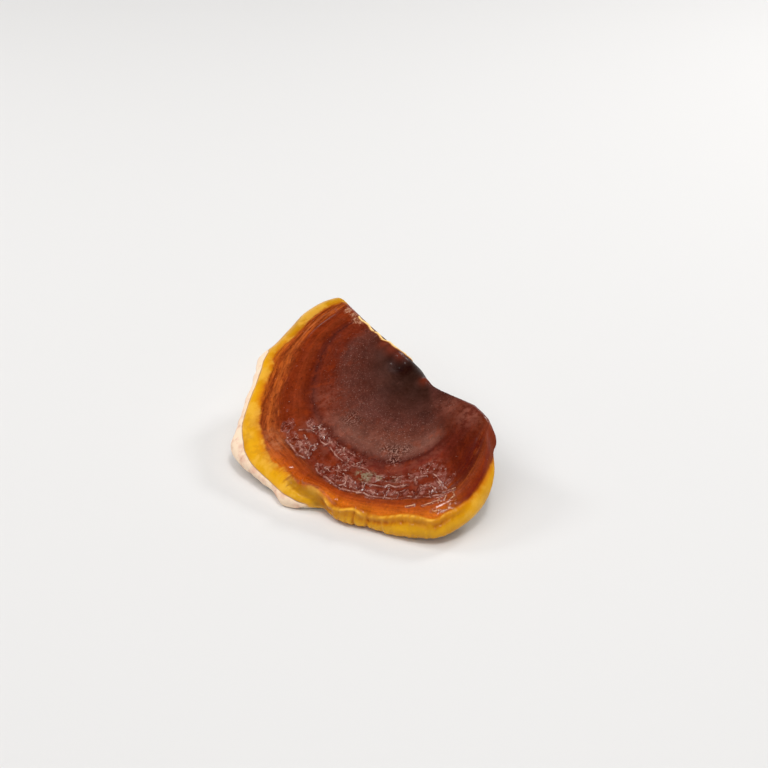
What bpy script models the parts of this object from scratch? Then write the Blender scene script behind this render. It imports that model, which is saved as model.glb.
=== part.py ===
"""Reishi mushroom: a fan-shaped, lacquered bracket cap on a short side stem that is cut off flat.

The cap is drawn on its own plane. The hub, where the growth lines have their centre, is the origin of that
plane, directions are counted anticlockwise from its +X, and its +Z is the lacquered side. The plane is then
tilted, so that the front margin and the cut of the stem rest on the same level.
"""

import math

import bmesh
import bpy
import numpy as np
from mathutils import Matrix, Vector, noise

# Lengths are in metres and directions in degrees.
TILT = 20.0
HEADING = -27.9
HUB_LEFT = (-0.0095, 0.0124)
HUB_RIGHT = (0.0092, -0.0006)
HUB_BULGE = (0.0012, 0.0018)

# How far each growth line reaches from the hub, by direction, from one straight edge of the fan to the other:
# the margin, and two older margins inside it.
MARGIN = (
    (147, 0.0742), (154, 0.0785), (162, 0.0798), (172, 0.0790), (181, 0.0808), (188, 0.0850),
    (197, 0.0836), (206, 0.0851), (216, 0.0903), (226, 0.0974), (234, 0.0958), (244, 0.0923),
    (255, 0.0929), (260, 0.0888), (264, 0.0860), (271, 0.0892), (281, 0.0895), (291, 0.0930),
    (304, 0.0968), (312, 0.0922), (320, 0.0843), (328, 0.0732), (334, 0.0634), (341, 0.0592),
)
LATE_LINE = (
    (147, 0.0610), (180, 0.0625), (200, 0.0635), (215, 0.0670), (230, 0.0715), (250, 0.0730),
    (267, 0.0775), (290, 0.0785), (305, 0.0785), (314, 0.0710), (325, 0.0610), (345, 0.0500),
)
EARLY_LINE = (
    (146, 0.0490), (180, 0.0500), (215, 0.0510), (235, 0.0540), (252, 0.0560), (275, 0.0600),
    (292, 0.0600), (305, 0.0560), (318, 0.0490), (330, 0.0430), (349, 0.0400),
)
EARLY_GROWTH = 0.60
LATE_GROWTH = 0.80

# The lacquered side over the cap's plane, from the hub (growth 0) to the margin (growth 1).
CROWN = ((0.0, 0.0052), (0.10, 0.0060), (0.50, 0.0084), (0.75, 0.0086), (0.90, 0.0072), (1.0, 0.0062))

# The growth lines that the surface is drawn through, and how far each stands above the crown or sinks below
# it: low ledges, and a groove at each older margin.
LEDGES = (
    (0.000, 0.0000), (0.012, 0.0000), (0.045, 0.0000), (0.095, -0.0002), (0.150, 0.0004), (0.195, -0.0003),
    (0.245, 0.0005), (0.290, -0.0004), (0.345, 0.0005), (0.395, -0.0005), (0.450, 0.0006), (0.500, -0.0002),
    (0.550, 0.0005), (0.583, 0.0000), (0.603, -0.0012), (0.630, 0.0000), (0.670, 0.0006), (0.710, -0.0002),
    (0.750, 0.0006), (0.783, 0.0003), (0.803, -0.0009), (0.830, 0.0001), (0.852, -0.0006), (0.876, 0.0002),
    (0.900, -0.0003), (0.920, 0.0000), (0.938, 0.0000), (0.954, 0.0000), (0.968, 0.0000), (0.980, 0.0000),
    (0.990, 0.0000), (0.997, 0.0000), (1.000, 0.0000),
)
LEDGE_FADE = 0.0140

# How far in from its edges each side has rounded over: from the margin, from the hub's own short edge, and
# from the two straight edges.
BRIM_ROLL = 0.0088
BACK_ROLL = 0.0068
SIDE_ROLL = 0.0042
UNDER_BRIM_ROLL = 0.0050
UNDER_BACK_ROLL = 0.0036
UNDER_SIDE_ROLL = 0.0026

# The underside is an even depth below the cap's plane at the brim, and thickens to a flat seat for the stem.
BRIM_DEPTH = 0.0044
SEAT_CENTRE = (-0.0050, -0.0092)
SEAT_RADIUS = 0.0104
SEAT_DEPTH = 0.0120
SEAT_FLARE = 0.0260

# Forms beside the hub: place, spread and height of a raised lobe, the hollow in front of it, and a nub.
HUB_FORMS = (
    ((-0.0200, 0.0125), 0.0055, 0.0026),
    ((-0.0085, 0.0015), 0.0060, -0.0042),
    ((0.0080, -0.0010), 0.0028, 0.0016),
)

# Folds across the brim: direction and spread in degrees, and height.
BRIM_FOLDS = ((257, 4.0, 0.0016), (265, 3.0, -0.0018), (276, 3.5, 0.0007), (290, 4.5, 0.0006))

# Gentle unevenness: lumps all over the top, and waves along the margin, whose lowest part is pressed level.
LUMP_SIZE = 0.0170
LUMP_SLICE = 0.5
LUMP_HEIGHT = 0.0009
MARGIN_WAVE = 0.0006
MARGIN_WAVES = 11
FLOOR_PRESS = 0.0005

# The stump of the stem: its half width at each share of its length, from the seat down to the cut.
STEM_GAP = 0.0003
STEM_LEAN = (0.0075, 0.0150)
STEM_WIDTHS = ((0.00, 0.0098), (0.12, 0.0097), (0.38, 0.0118), (0.62, 0.0110), (0.85, 0.0122), (1.00, 0.0128))
STEM_FLATNESS = 0.88
STEM_FLUTE = 0.0006
STEM_FLUTES = 6
STEM_TWIST = 2.5

# Knots on the stem: angle round it, share of its length, spread in metres, and height.
STEM_KNOTS = ((60, 0.45, 0.0060, 0.0022), (165, 0.62, 0.0050, 0.0020), (285, 0.38, 0.0055, 0.0018))

CAP_COLOUR = (0.150, 0.034, 0.014)
CAP_ROUGHNESS = 0.28
STEM_COLOUR = (0.040, 0.013, 0.009)
STEM_ROUGHNESS = 0.34

# How finely the surfaces are drawn. The cap has more columns, closer together, beside its straight edges.
FAN_COLUMNS = 88
SOFT_COLUMNS = 4
SOFT_SHARE = 0.030
STEM_SIDES = 32
STEM_ROWS = 16


def clear_scene():
    """Removes whatever the file opens with."""
    for item in list(bpy.data.objects):
        bpy.data.objects.remove(item, do_unlink=True)


def through(points, x):
    """The smooth curve through (place, value) points, at x, level beyond both ends."""
    places = np.array([place for place, _ in points], float)
    values = np.array([value for _, value in points], float)
    slopes = np.gradient(values, places)
    x = np.clip(x, places[0], places[-1])
    k = np.clip(np.searchsorted(places, x, side="right") - 1, 0, len(places) - 2)
    step = places[k + 1] - places[k]
    t = (x - places[k]) / step
    start = values[k] * (1 + 2 * t) * (1 - t) ** 2 + slopes[k] * step * t * (1 - t) ** 2
    end = values[k + 1] * t * t * (3 - 2 * t) + slopes[k + 1] * step * t * t * (t - 1)
    return start + end


def smooth_step(t):
    """0 below 0, 1 above 1, and an easy slope between."""
    t = np.clip(t, 0, 1)
    return t * t * (3 - 2 * t)


def fan_shares():
    """Shares of the fan's sweep, one for each column, set closer together beside its two straight edges."""
    soft = SOFT_SHARE * (np.arange(SOFT_COLUMNS) / SOFT_COLUMNS) ** 2
    middle = np.linspace(SOFT_SHARE, 1 - SOFT_SHARE, FAN_COLUMNS + 1)
    return np.concatenate((soft, middle, 1 - soft[::-1]))


def directions(line, shares):
    """Directions from the hub at shares of the sweep of a growth line."""
    return line[0][0] + (line[-1][0] - line[0][0]) * shares


def line_points(line, shares):
    """Points on a growth line, at shares of its sweep."""
    angle = np.radians(directions(line, shares))
    return np.stack((np.cos(angle), np.sin(angle)), axis=1) * through(line, directions(line, shares))[:, None]


def plan(shares, growths):
    """The grid of the cap's plane: one column for each share of the sweep, one row for each growth."""
    hub = np.outer(1 - shares, HUB_LEFT) + np.outer(shares, HUB_RIGHT)
    hub += np.outer(4 * shares * (1 - shares), HUB_BULGE)
    lines = (hub, line_points(EARLY_LINE, shares), line_points(LATE_LINE, shares), line_points(MARGIN, shares))
    places = (0, EARLY_GROWTH, LATE_GROWTH, 1)
    rows = []
    for growth in growths:
        k = min(int(np.searchsorted(places, growth, side="right")) - 1, 2)
        t = (growth - places[k]) / (places[k + 1] - places[k])
        rows.append(lines[k] + (lines[k + 1] - lines[k]) * t)
    return np.stack(rows, axis=1)


def away(flat, rim):
    """How far each point of the grid is from its own place on one edge of the grid."""
    return np.linalg.norm(flat - rim, axis=2)


def roll(distance, width):
    """0 on an edge, rising like a quarter round to 1 at the given width from it."""
    t = np.clip(distance / width, 0, 1)
    return np.sqrt(1 - (1 - t) ** 2)


def edge_rolls(flat, brim_width, back_width, side_width):
    """How far each point of the grid has risen from the nearest edges, from 0 to 1."""
    brim = roll(away(flat, flat[:, -1:]), brim_width)
    back = roll(away(flat, flat[:, :1]), back_width)
    sides = roll(away(flat, flat[:1]), side_width) * roll(away(flat, flat[-1:]), side_width)
    return brim * back * sides


def lumps(flat):
    """Gentle unevenness from -1 to 1 over the plan."""
    places = flat / LUMP_SIZE
    return np.array([[noise.noise(Vector((x, y, LUMP_SLICE))) for x, y in column] for column in places])


def top_heights(flat, growths, direction):
    """Heights of the lacquered side, before its edges roll over."""
    side = np.minimum(away(flat, flat[:1]), away(flat, flat[-1:]))
    ledges = np.array([height for _, height in LEDGES]) * smooth_step(side / LEDGE_FADE)
    heights = through(CROWN, growths) + ledges + LUMP_HEIGHT * lumps(flat)
    for place, spread, height in HUB_FORMS:
        gap = np.linalg.norm(flat - np.array(place), axis=2)
        heights = heights + height * np.exp(-((gap / spread) ** 2))
    brim = smooth_step((growths - LATE_GROWTH) / (1 - LATE_GROWTH))
    for centre, spread, height in BRIM_FOLDS:
        heights = heights + height * np.exp(-(((direction - centre) / spread) ** 2)) * brim
    return heights


def under_depths(flat):
    """Depths of the pored side below the cap's plane, before its edges roll over."""
    gap = np.linalg.norm(flat - np.array(SEAT_CENTRE), axis=2)
    return SEAT_DEPTH + (BRIM_DEPTH - SEAT_DEPTH) * smooth_step((gap - SEAT_RADIUS) / SEAT_FLARE)


def cap_points():
    """Top and underside of the cap as two grids of points that share their edges."""
    shares = fan_shares()
    growths = np.array([growth for growth, _ in LEDGES])
    flat = plan(shares, growths)
    direction = directions(MARGIN, shares)[:, None]
    wave = MARGIN_WAVE * np.sin(np.radians(direction) * MARGIN_WAVES) * growths
    top = top_heights(flat, growths, direction) * edge_rolls(flat, BRIM_ROLL, BACK_ROLL, SIDE_ROLL)
    under = under_depths(flat) * edge_rolls(flat, UNDER_BRIM_ROLL, UNDER_BACK_ROLL, UNDER_SIDE_ROLL)
    return np.dstack((flat, wave + top)), np.dstack((flat, wave - under))


def cap_faces(columns, rows):
    """Faces of the two grids. The underside has half as many columns and rows, and meets every edge point."""
    def top(i, j):
        return i * (rows + 1) + j

    on_edge = [(i, j) for i in range(columns + 1) for j in range(rows + 1)
               if i in (0, columns) or j in (0, rows)]
    inner = [(i, j) for i in range(2, columns, 2) for j in range(2, rows, 2)]
    under = {place: top(*place) for place in on_edge}
    under.update({place: (columns + 1) * (rows + 1) + k for k, place in enumerate(inner)})
    faces = [(top(i, j), top(i, j + 1), top(i + 1, j + 1), top(i + 1, j))
             for i in range(columns) for j in range(rows)]
    for i in range(0, columns, 2):
        for j in range(0, rows, 2):
            walk = ((i, j), (i + 1, j), (i + 2, j), (i + 2, j + 1),
                    (i + 2, j + 2), (i + 1, j + 2), (i, j + 2), (i, j + 1))
            faces.append([under[place] for place in walk if place in under])
    return faces, inner


def mesh_object(name, points, faces, material, parent):
    """A smooth-shaded closed mesh, as one named sub-part."""
    mesh = bpy.data.meshes.new(name)
    mesh.from_pydata([tuple(point) for point in points], [], faces)
    shape = bmesh.new()
    shape.from_mesh(mesh)
    bmesh.ops.triangulate(shape, faces=shape.faces)
    bmesh.ops.recalc_face_normals(shape, faces=shape.faces)
    shape.to_mesh(mesh)
    shape.free()
    mesh.shade_smooth()
    mesh.materials.append(material)
    item = bpy.data.objects.new(name, mesh)
    bpy.context.scene.collection.objects.link(item)
    item.parent = parent
    return item


def finish(name, colour, roughness):
    """A plain, non-metal surface finish."""
    material = bpy.data.materials.new(name)
    material.use_nodes = True
    shader = material.node_tree.nodes["Principled BSDF"]
    shader.inputs["Base Color"].default_value = (*colour, 1.0)
    shader.inputs["Roughness"].default_value = roughness
    shader.inputs["Metallic"].default_value = 0.0
    return material


def cap_turn():
    """The tilt and heading of the cap's plane."""
    return Matrix.Rotation(math.radians(HEADING), 3, "Z") @ Matrix.Rotation(math.radians(TILT), 3, "X")


def make_cap(parent):
    """The fan, resting on its front margin, where the lowest part of the brim is pressed level."""
    top, under = cap_points()
    faces, inner = cap_faces(top.shape[0] - 1, top.shape[1] - 1)
    points = np.vstack((top.reshape(-1, 3), [under[place] for place in inner]))
    turn = np.array(cap_turn())
    placed = points @ turn.T
    hub_height = -placed[:, 2].min() - FLOOR_PRESS
    placed[:, 2] = np.maximum(placed[:, 2], -hub_height)
    lacquer = finish("cap_lacquer", CAP_COLOUR, CAP_ROUGHNESS)
    cap = mesh_object("cap", placed @ turn, faces, lacquer, parent)
    cap.rotation_euler = (math.radians(TILT), 0, math.radians(HEADING))
    cap.location = (0, 0, hub_height)
    return cap


def stem_reach(angle, share, length):
    """How far the stem's skin is from its middle line, at an angle round it and a share of its length."""
    reach = float(through(STEM_WIDTHS, share))
    swell = math.sin(math.pi * share)
    reach += STEM_FLUTE * swell * math.sin(STEM_FLUTES * angle + STEM_TWIST * share)
    for knot_angle, knot_share, spread, height in STEM_KNOTS:
        round_it = reach * math.remainder(angle - math.radians(knot_angle), math.tau)
        along_it = length * (share - knot_share)
        reach += height * math.exp(-(round_it ** 2 + along_it ** 2) / spread ** 2)
    return reach


def make_stem(parent, hub_height):
    """The stump of the stem, from the seat under the cap down to its level cut."""
    head = cap_turn() @ Vector((*SEAT_CENTRE, -SEAT_DEPTH - STEM_GAP)) + Vector((0, 0, hub_height))
    foot = Vector((head.x + STEM_LEAN[0], head.y + STEM_LEAN[1], 0))
    head_turn = cap_turn().to_quaternion()
    foot_turn = Matrix.Rotation(math.radians(HEADING), 3, "Z").to_quaternion()
    bend = head + head_turn @ Vector((0, 0, -head.z / 2))
    points = []
    for row in range(STEM_ROWS + 1):
        share = row / STEM_ROWS
        centre = head.lerp(bend, share).lerp(bend.lerp(foot, share), share)
        turn = head_turn.slerp(foot_turn, share)
        for side in range(STEM_SIDES):
            angle = math.tau * side / STEM_SIDES
            reach = stem_reach(angle, share, (foot - head).length)
            across = Vector((reach * math.cos(angle), reach * STEM_FLATNESS * math.sin(angle), 0))
            points.append(centre + turn @ across - foot)
    last = STEM_ROWS * STEM_SIDES
    faces = [list(range(STEM_SIDES)), list(range(last, last + STEM_SIDES))]
    for low in range(0, last, STEM_SIDES):
        for side in range(STEM_SIDES):
            beside = (side + 1) % STEM_SIDES
            high = low + STEM_SIDES
            faces.append((low + side, high + side, high + beside, low + beside))
    lacquer = finish("stem_lacquer", STEM_COLOUR, STEM_ROUGHNESS)
    stem = mesh_object("stem", points, faces, lacquer, parent)
    stem.location = foot
    return stem


def stand_on_origin(root, parts):
    """Moves the whole mushroom so that the middle of its box's bottom is at the origin."""
    bpy.context.view_layer.update()
    corners = np.array([part.matrix_world @ vertex.co for part in parts for vertex in part.data.vertices])
    low, high = corners.min(0), corners.max(0)
    root.location = (-(low[0] + high[0]) / 2, -(low[1] + high[1]) / 2, -low[2])


def main():
    clear_scene()
    root = bpy.data.objects.new("mushroom", None)
    bpy.context.scene.collection.objects.link(root)
    cap = make_cap(root)
    stem = make_stem(root, cap.location.z)
    stand_on_origin(root, (cap, stem))


main()
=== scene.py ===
"""The looks of a reishi mushroom: its lacquered cap, its stem and the dust on it.

The cap is drawn on its own plane, as in the model. The hub is the plane's origin, directions are counted
anticlockwise from its +X, in degrees, and growth runs from 0 at the hub to 1 at the rim. Lengths are in
metres. The cap's points carry marks, which say where on the fan they are and what lies there. The relief
and the material read the same marks, so form and colour agree.
"""

import math
from typing import NamedTuple

import bpy
import numpy as np
from bpy.props import FloatProperty, FloatVectorProperty, IntProperty, PointerProperty
from mathutils import Matrix, Vector, noise


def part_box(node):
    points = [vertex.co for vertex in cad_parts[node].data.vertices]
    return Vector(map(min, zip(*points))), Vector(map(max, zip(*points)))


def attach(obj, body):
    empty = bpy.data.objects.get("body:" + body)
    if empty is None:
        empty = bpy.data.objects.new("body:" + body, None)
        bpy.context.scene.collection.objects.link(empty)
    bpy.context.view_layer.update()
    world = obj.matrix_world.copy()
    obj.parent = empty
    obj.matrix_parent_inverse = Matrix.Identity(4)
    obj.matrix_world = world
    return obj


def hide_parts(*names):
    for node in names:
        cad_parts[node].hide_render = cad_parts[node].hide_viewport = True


bl_info = {
    "name": "Reishi mushroom",
    "version": (1, 0, 0),
    "blender": (4, 5, 0),
    "location": "View3D > Sidebar > Reishi",
    "description": "Builds a lacquered, fan-shaped reishi mushroom, and a plain stage for it",
    "category": "Add Mesh",
}

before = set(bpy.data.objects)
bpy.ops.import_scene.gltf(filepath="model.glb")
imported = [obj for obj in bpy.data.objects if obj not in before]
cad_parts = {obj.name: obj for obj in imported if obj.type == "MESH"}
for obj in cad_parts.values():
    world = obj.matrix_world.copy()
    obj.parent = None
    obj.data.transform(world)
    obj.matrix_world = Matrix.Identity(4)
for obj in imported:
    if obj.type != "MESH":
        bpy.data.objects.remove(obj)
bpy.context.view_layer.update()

# The cap's plane: its tilt and heading in degrees, and the two ends and the bulge of its hub.
TILT = 20.0
HEADING = -27.9
HUB_LEFT = (-0.0095, 0.0124)
HUB_RIGHT = (0.0092, -0.0006)
HUB_BULGE = (0.0012, 0.0018)

# The margin and two older margins, by direction. They are the model's, but the margin ends rounder at the
# right tip.
MARGIN = (
    (147, 0.0742), (154, 0.0785), (162, 0.0798), (172, 0.0790), (181, 0.0808), (188, 0.0850),
    (197, 0.0836), (206, 0.0851), (216, 0.0903), (226, 0.0974), (234, 0.0958), (244, 0.0923),
    (255, 0.0929), (260, 0.0888), (264, 0.0860), (271, 0.0892), (281, 0.0895), (291, 0.0930),
    (304, 0.0968), (312, 0.0922), (320, 0.0843), (328, 0.0730), (334, 0.0630), (338.4, 0.0598),
    (341, 0.0568),
)
LATE_LINE = (
    (147, 0.0610), (180, 0.0625), (200, 0.0635), (215, 0.0670), (230, 0.0715), (250, 0.0730),
    (267, 0.0775), (290, 0.0785), (305, 0.0785), (314, 0.0710), (325, 0.0610), (345, 0.0500),
)
EARLY_LINE = (
    (146, 0.0490), (180, 0.0500), (215, 0.0510), (235, 0.0540), (252, 0.0560), (275, 0.0600),
    (292, 0.0600), (305, 0.0560), (318, 0.0490), (330, 0.0430), (349, 0.0400),
)
EARLY_GROWTH = 0.60
LATE_GROWTH = 0.80

# Heights of the top by growth: its crown, and ledges, which are drawn at a share of the model's.
CROWN = ((0.0, 0.0052), (0.10, 0.0060), (0.50, 0.0084), (0.75, 0.0086), (0.90, 0.0072), (1.0, 0.0062))
LEDGES = (
    (0.000, 0.0000), (0.045, 0.0000), (0.095, -0.0002), (0.150, 0.0004), (0.195, -0.0003),
    (0.245, 0.0005), (0.290, -0.0004), (0.345, 0.0005), (0.395, -0.0005), (0.450, 0.0006),
    (0.500, -0.0002), (0.550, 0.0005), (0.583, 0.0000), (0.603, -0.0012), (0.630, 0.0000),
    (0.670, 0.0006), (0.710, -0.0002), (0.750, 0.0006), (0.783, 0.0003), (0.803, -0.0009),
    (0.830, 0.0001), (0.852, -0.0006), (0.876, 0.0002), (0.900, -0.0003), (0.920, 0.0000),
    (1.000, 0.0000),
)
LEDGE_FADE = 0.0140
LEDGE_SHARE = 0.20

# How wide the edges roll over, on the top and on the underside.
BRIM_ROLL = 0.0088
BACK_ROLL = 0.0068
SIDE_ROLL = 0.0042
UNDER_BRIM_ROLL = 0.0050
UNDER_BACK_ROLL = 0.0036
UNDER_SIDE_ROLL = 0.0026

# The underside: its depth at the brim, and the seat of the stem in it.
BRIM_DEPTH = 0.0044
SEAT_CENTRE = (-0.0050, -0.0092)
SEAT_RADIUS = 0.0104
SEAT_DEPTH = 0.0120
SEAT_FLARE = 0.0260

# Swellings of the top, each as its centre, how far it spreads and its height.
SWELLS = (
    ((-0.0185, 0.0108), 0.0046, 0.0024),
    ((-0.0120, 0.0078), 0.0038, 0.0022),
    ((-0.0080, 0.0026), 0.0050, -0.0024),
    ((0.0086, -0.0014), 0.0026, 0.0018),
)

# Folds across the brim: direction and spread in degrees, and height.
BRIM_FOLDS = ((276, 3.5, 0.0007), (290, 4.5, 0.0006))

# A ridge that runs down into the front brim and the valley outside it, as routes over the plane. The model
# has them as two more folds.
BRIM_RIDGE = (((-0.0190, -0.0798), (-0.0116, -0.0802), (-0.0061, -0.0821), (-0.0011, -0.0848)),)
BRIM_VALLEY = (
    ((-0.0255, -0.0812), (-0.0180, -0.0840), (-0.0135, -0.0840), (-0.0088, -0.0850), (-0.0045, -0.0864)),
)
RIDGE_RISE = 0.0022
VALLEY_DEPTH = 0.0020
RIDGE_WIDTH = 0.0034
RIDGE_CREST = 0.0022

# Broad lumps of the top, the waves of the whole cap, and how far the brim presses into the floor.
LUMP_SIZE = 0.0170
LUMP_SLICE = 0.5
LUMP_HEIGHT = 0.0009
MARGIN_WAVE = 0.0006
MARGIN_WAVES = 11
FLOOR_PRESS = 0.0005

# The stem, as the model has it: how far it leans, and its half widths from the cap to the cut.
STEM_LEAN = (0.0075, 0.0150)
STEM_WIDTHS = (
    (0.00, 0.0098), (0.12, 0.0097), (0.38, 0.0118), (0.62, 0.0110), (0.85, 0.0122), (1.00, 0.0128),
)
STEM_FLATNESS = 0.88
STEM_FLUTE = 0.0006
STEM_FLUTES = 6
STEM_TWIST = 2.5

# Knots on the stem: angle, share of its length, spread and height.
STEM_KNOTS = ((60, 0.45, 0.0060, 0.0022), (165, 0.62, 0.0050, 0.0020), (285, 0.38, 0.0055, 0.0018))

# How wide the bands along the rim are, measured in over the rim's curve: the yellow one with the white lip
# outside it, and the white lip alone. A width below zero means that there is none.
YELLOW_WIDTH = (
    (147, 0.0138), (153, 0.0145), (159, 0.0139), (165, 0.0132), (177, 0.0135), (182, 0.0129),
    (190, 0.0142), (196, 0.0139), (200, 0.0132), (209, 0.0135), (215, 0.0156), (221, 0.0184),
    (227, 0.0204), (231, 0.0182), (235, 0.0155), (242, 0.0120), (246, 0.0129), (250, 0.0142),
    (255, 0.0138), (260, 0.0114), (264, 0.0072), (268, 0.0055), (272, 0.0062), (276, 0.0082),
    (280, 0.0066), (284, 0.0070), (288, 0.0086), (292, 0.0101), (297, 0.0100), (302, 0.0084),
    (305, 0.0096), (311, 0.0092), (318, 0.0084), (324, 0.0073), (328, 0.0050), (332, 0.0008),
    (335, -0.0012), (341, -0.0030),
)
WHITE_WIDTH = (
    (147, -0.0040), (178, -0.0040), (182, -0.0030), (184, 0.0016), (186, 0.0074), (188, 0.0088),
    (192, 0.0080), (196, 0.0072), (201, 0.0070), (213, 0.0067), (218, 0.0076), (223, 0.0100),
    (227, 0.0102), (231, 0.0076), (235, 0.0056), (240, 0.0041), (246, 0.0036), (251, 0.0048),
    (255, 0.0046), (258, 0.0022), (261, 0.0000), (264, -0.0034), (268, -0.0040), (341, -0.0040),
)

# How far the skin of the top runs round on to the underside before the pores begin.
UNDER_BAND = (
    (147, 0.0040), (178, 0.0030), (184, 0.0000), (192, 0.0000), (250, 0.0000), (260, 0.0000),
    (266, 0.0034), (272, 0.0036), (300, 0.0038), (328, 0.0040), (334, 0.0056), (341, 0.0056),
)

# Where the dull bloom round the hub ends, as growths.
BLOOM_END = (
    (147, 0.40), (165, 0.45), (185, 0.48), (205, 0.47), (228, 0.45), (240, 0.52), (258, 0.54),
    (276, 0.57), (292, 0.51), (302, 0.42), (314, 0.38), (330, 0.42), (341, 0.48),
)
BLOOM_FADE = 0.20

# The patches of wrinkled crust: direction, growth, and how far each reaches both ways.
CRUST_PATCHES = (
    (229, 0.760, 4.0, 0.040), (235, 0.765, 4.0, 0.036), (243, 0.752, 4.6, 0.036),
    (234, 0.640, 4.0, 0.022), (239, 0.612, 3.5, 0.022), (244.6, 0.617, 3.0, 0.026),
    (252, 0.602, 4.5, 0.020), (259, 0.615, 4.5, 0.026), (267, 0.622, 5.0, 0.026),
    (256, 0.762, 4.0, 0.030), (262.5, 0.742, 4.6, 0.046), (264, 0.668, 2.6, 0.020),
    (271, 0.765, 4.4, 0.030), (277, 0.700, 4.5, 0.020), (279, 0.775, 3.4, 0.018),
    (285, 0.768, 3.2, 0.022), (286, 0.690, 5.0, 0.018), (291, 0.772, 3.2, 0.020),
    (294, 0.690, 4.5, 0.024), (298, 0.770, 3.6, 0.028), (299, 0.668, 4.5, 0.034),
    (303.5, 0.735, 3.0, 0.050), (307, 0.795, 3.0, 0.018),
)

# Wrinkles that stand out alone, as routes over the cap's plane.
WRINKLES = (
    ((-0.0356, -0.0533), (-0.0299, -0.0516), (-0.0269, -0.0520), (-0.0263, -0.0488), (-0.0246, -0.0481)),
    ((-0.0311, -0.0499), (-0.0293, -0.0507), (-0.0282, -0.0487), (-0.0274, -0.0471)),
    ((-0.0252, -0.0531), (-0.0225, -0.0558), (-0.0191, -0.0566), (-0.0185, -0.0545), (-0.0194, -0.0515),
     (-0.0219, -0.0504), (-0.0252, -0.0531)),
    ((-0.0231, -0.0523), (-0.0215, -0.0542), (-0.0199, -0.0535)),
    ((-0.0186, -0.0522), (-0.0156, -0.0531), (-0.0126, -0.0548), (-0.0064, -0.0567), (0.0006, -0.0589)),
    ((-0.0167, -0.0571), (-0.0120, -0.0605), (-0.0086, -0.0621), (-0.0036, -0.0640), (-0.0013, -0.0650),
     (-0.0012, -0.0676), (-0.0047, -0.0688), (-0.0079, -0.0657)),
    ((-0.0130, -0.0593), (-0.0129, -0.0572), (-0.0110, -0.0566), (-0.0110, -0.0595)),
    ((-0.0075, -0.0605), (-0.0060, -0.0598), (-0.0037, -0.0621), (-0.0008, -0.0641), (0.0036, -0.0640),
     (0.0073, -0.0638), (0.0095, -0.0652)),
    ((-0.0023, -0.0620), (0.0005, -0.0627), (0.0023, -0.0610), (0.0031, -0.0636)),
    ((-0.0395, -0.0604), (-0.0365, -0.0622), (-0.0313, -0.0656), (-0.0295, -0.0668), (-0.0256, -0.0673)),
    ((-0.0316, -0.0553), (-0.0295, -0.0574), (-0.0268, -0.0596), (-0.0246, -0.0591), (-0.0235, -0.0572)),
    ((-0.0293, -0.0651), (-0.0289, -0.0634), (-0.0265, -0.0632), (-0.0260, -0.0651)),
    ((-0.0234, -0.0594), (-0.0242, -0.0622), (-0.0239, -0.0665)),
    ((-0.0173, -0.0707), (-0.0148, -0.0729), (-0.0117, -0.0737), (-0.0070, -0.0753), (-0.0027, -0.0774),
     (0.0002, -0.0782), (0.0052, -0.0781), (0.0122, -0.0768), (0.0150, -0.0771), (0.0184, -0.0763)),
    ((-0.0144, -0.0716), (-0.0116, -0.0732), (-0.0054, -0.0764)),
    ((-0.0143, -0.0714), (-0.0114, -0.0694), (-0.0101, -0.0704)),
    ((-0.0066, -0.0694), (-0.0021, -0.0700), (0.0005, -0.0724), (0.0018, -0.0755), (-0.0007, -0.0771)),
    ((0.0000, -0.0705), (0.0040, -0.0730), (0.0035, -0.0744), (0.0050, -0.0755)),
    ((0.0041, -0.0758), (0.0072, -0.0764), (0.0095, -0.0767), (0.0108, -0.0749), (0.0089, -0.0719)),
    ((0.0103, -0.0711), (0.0128, -0.0717)),
    ((0.0088, -0.0780), (0.0122, -0.0768), (0.0146, -0.0775), (0.0179, -0.0767), (0.0216, -0.0754),
     (0.0241, -0.0751), (0.0298, -0.0728), (0.0324, -0.0712), (0.0423, -0.0685), (0.0474, -0.0651),
     (0.0494, -0.0647), (0.0496, -0.0670)),
    ((0.0126, -0.0712), (0.0193, -0.0700), (0.0211, -0.0680), (0.0243, -0.0683), (0.0298, -0.0654)),
    ((0.0059, -0.0654), (0.0090, -0.0659), (0.0150, -0.0653), (0.0167, -0.0644)),
    ((0.0205, -0.0637), (0.0231, -0.0628), (0.0271, -0.0605), (0.0297, -0.0595)),
    ((0.0318, -0.0603), (0.0337, -0.0593), (0.0367, -0.0578)),
    ((0.0317, -0.0610), (0.0338, -0.0637)),
    ((0.0215, -0.0700), (0.0227, -0.0713), (0.0216, -0.0728), (0.0220, -0.0746)),
    ((0.0255, -0.0720), (0.0267, -0.0703)),
    ((0.0287, -0.0719), (0.0306, -0.0702), (0.0312, -0.0681), (0.0333, -0.0698), (0.0338, -0.0679),
     (0.0347, -0.0695)),
    ((0.0287, -0.0703), (0.0294, -0.0690)),
    ((0.0361, -0.0665), (0.0365, -0.0643), (0.0398, -0.0626)),
    ((0.0377, -0.0679), (0.0395, -0.0665), (0.0418, -0.0657), (0.0417, -0.0670), (0.0383, -0.0682),
     (0.0377, -0.0679)),
    ((0.0417, -0.0627), (0.0435, -0.0636), (0.0441, -0.0645)),
    ((0.0386, -0.0556), (0.0408, -0.0566), (0.0435, -0.0586), (0.0455, -0.0601), (0.0492, -0.0618)),
    ((0.0424, -0.0591), (0.0455, -0.0608), (0.0467, -0.0624)),
    ((0.0458, -0.0638), (0.0485, -0.0625), (0.0517, -0.0590)),
    ((0.0519, -0.0616), (0.0529, -0.0631), (0.0522, -0.0649)),
    ((0.0412, -0.0737), (0.0448, -0.0710), (0.0459, -0.0696), (0.0483, -0.0679)),
    ((0.0346, -0.0762), (0.0374, -0.0745)),
    ((0.0470, -0.0745), (0.0507, -0.0726), (0.0533, -0.0711)),
    ((0.0530, -0.0698), (0.0564, -0.0687)),
    ((0.0525, -0.0680), (0.0551, -0.0653)),
    ((0.0568, -0.0720), (0.0572, -0.0702), (0.0578, -0.0691)),
)

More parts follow.
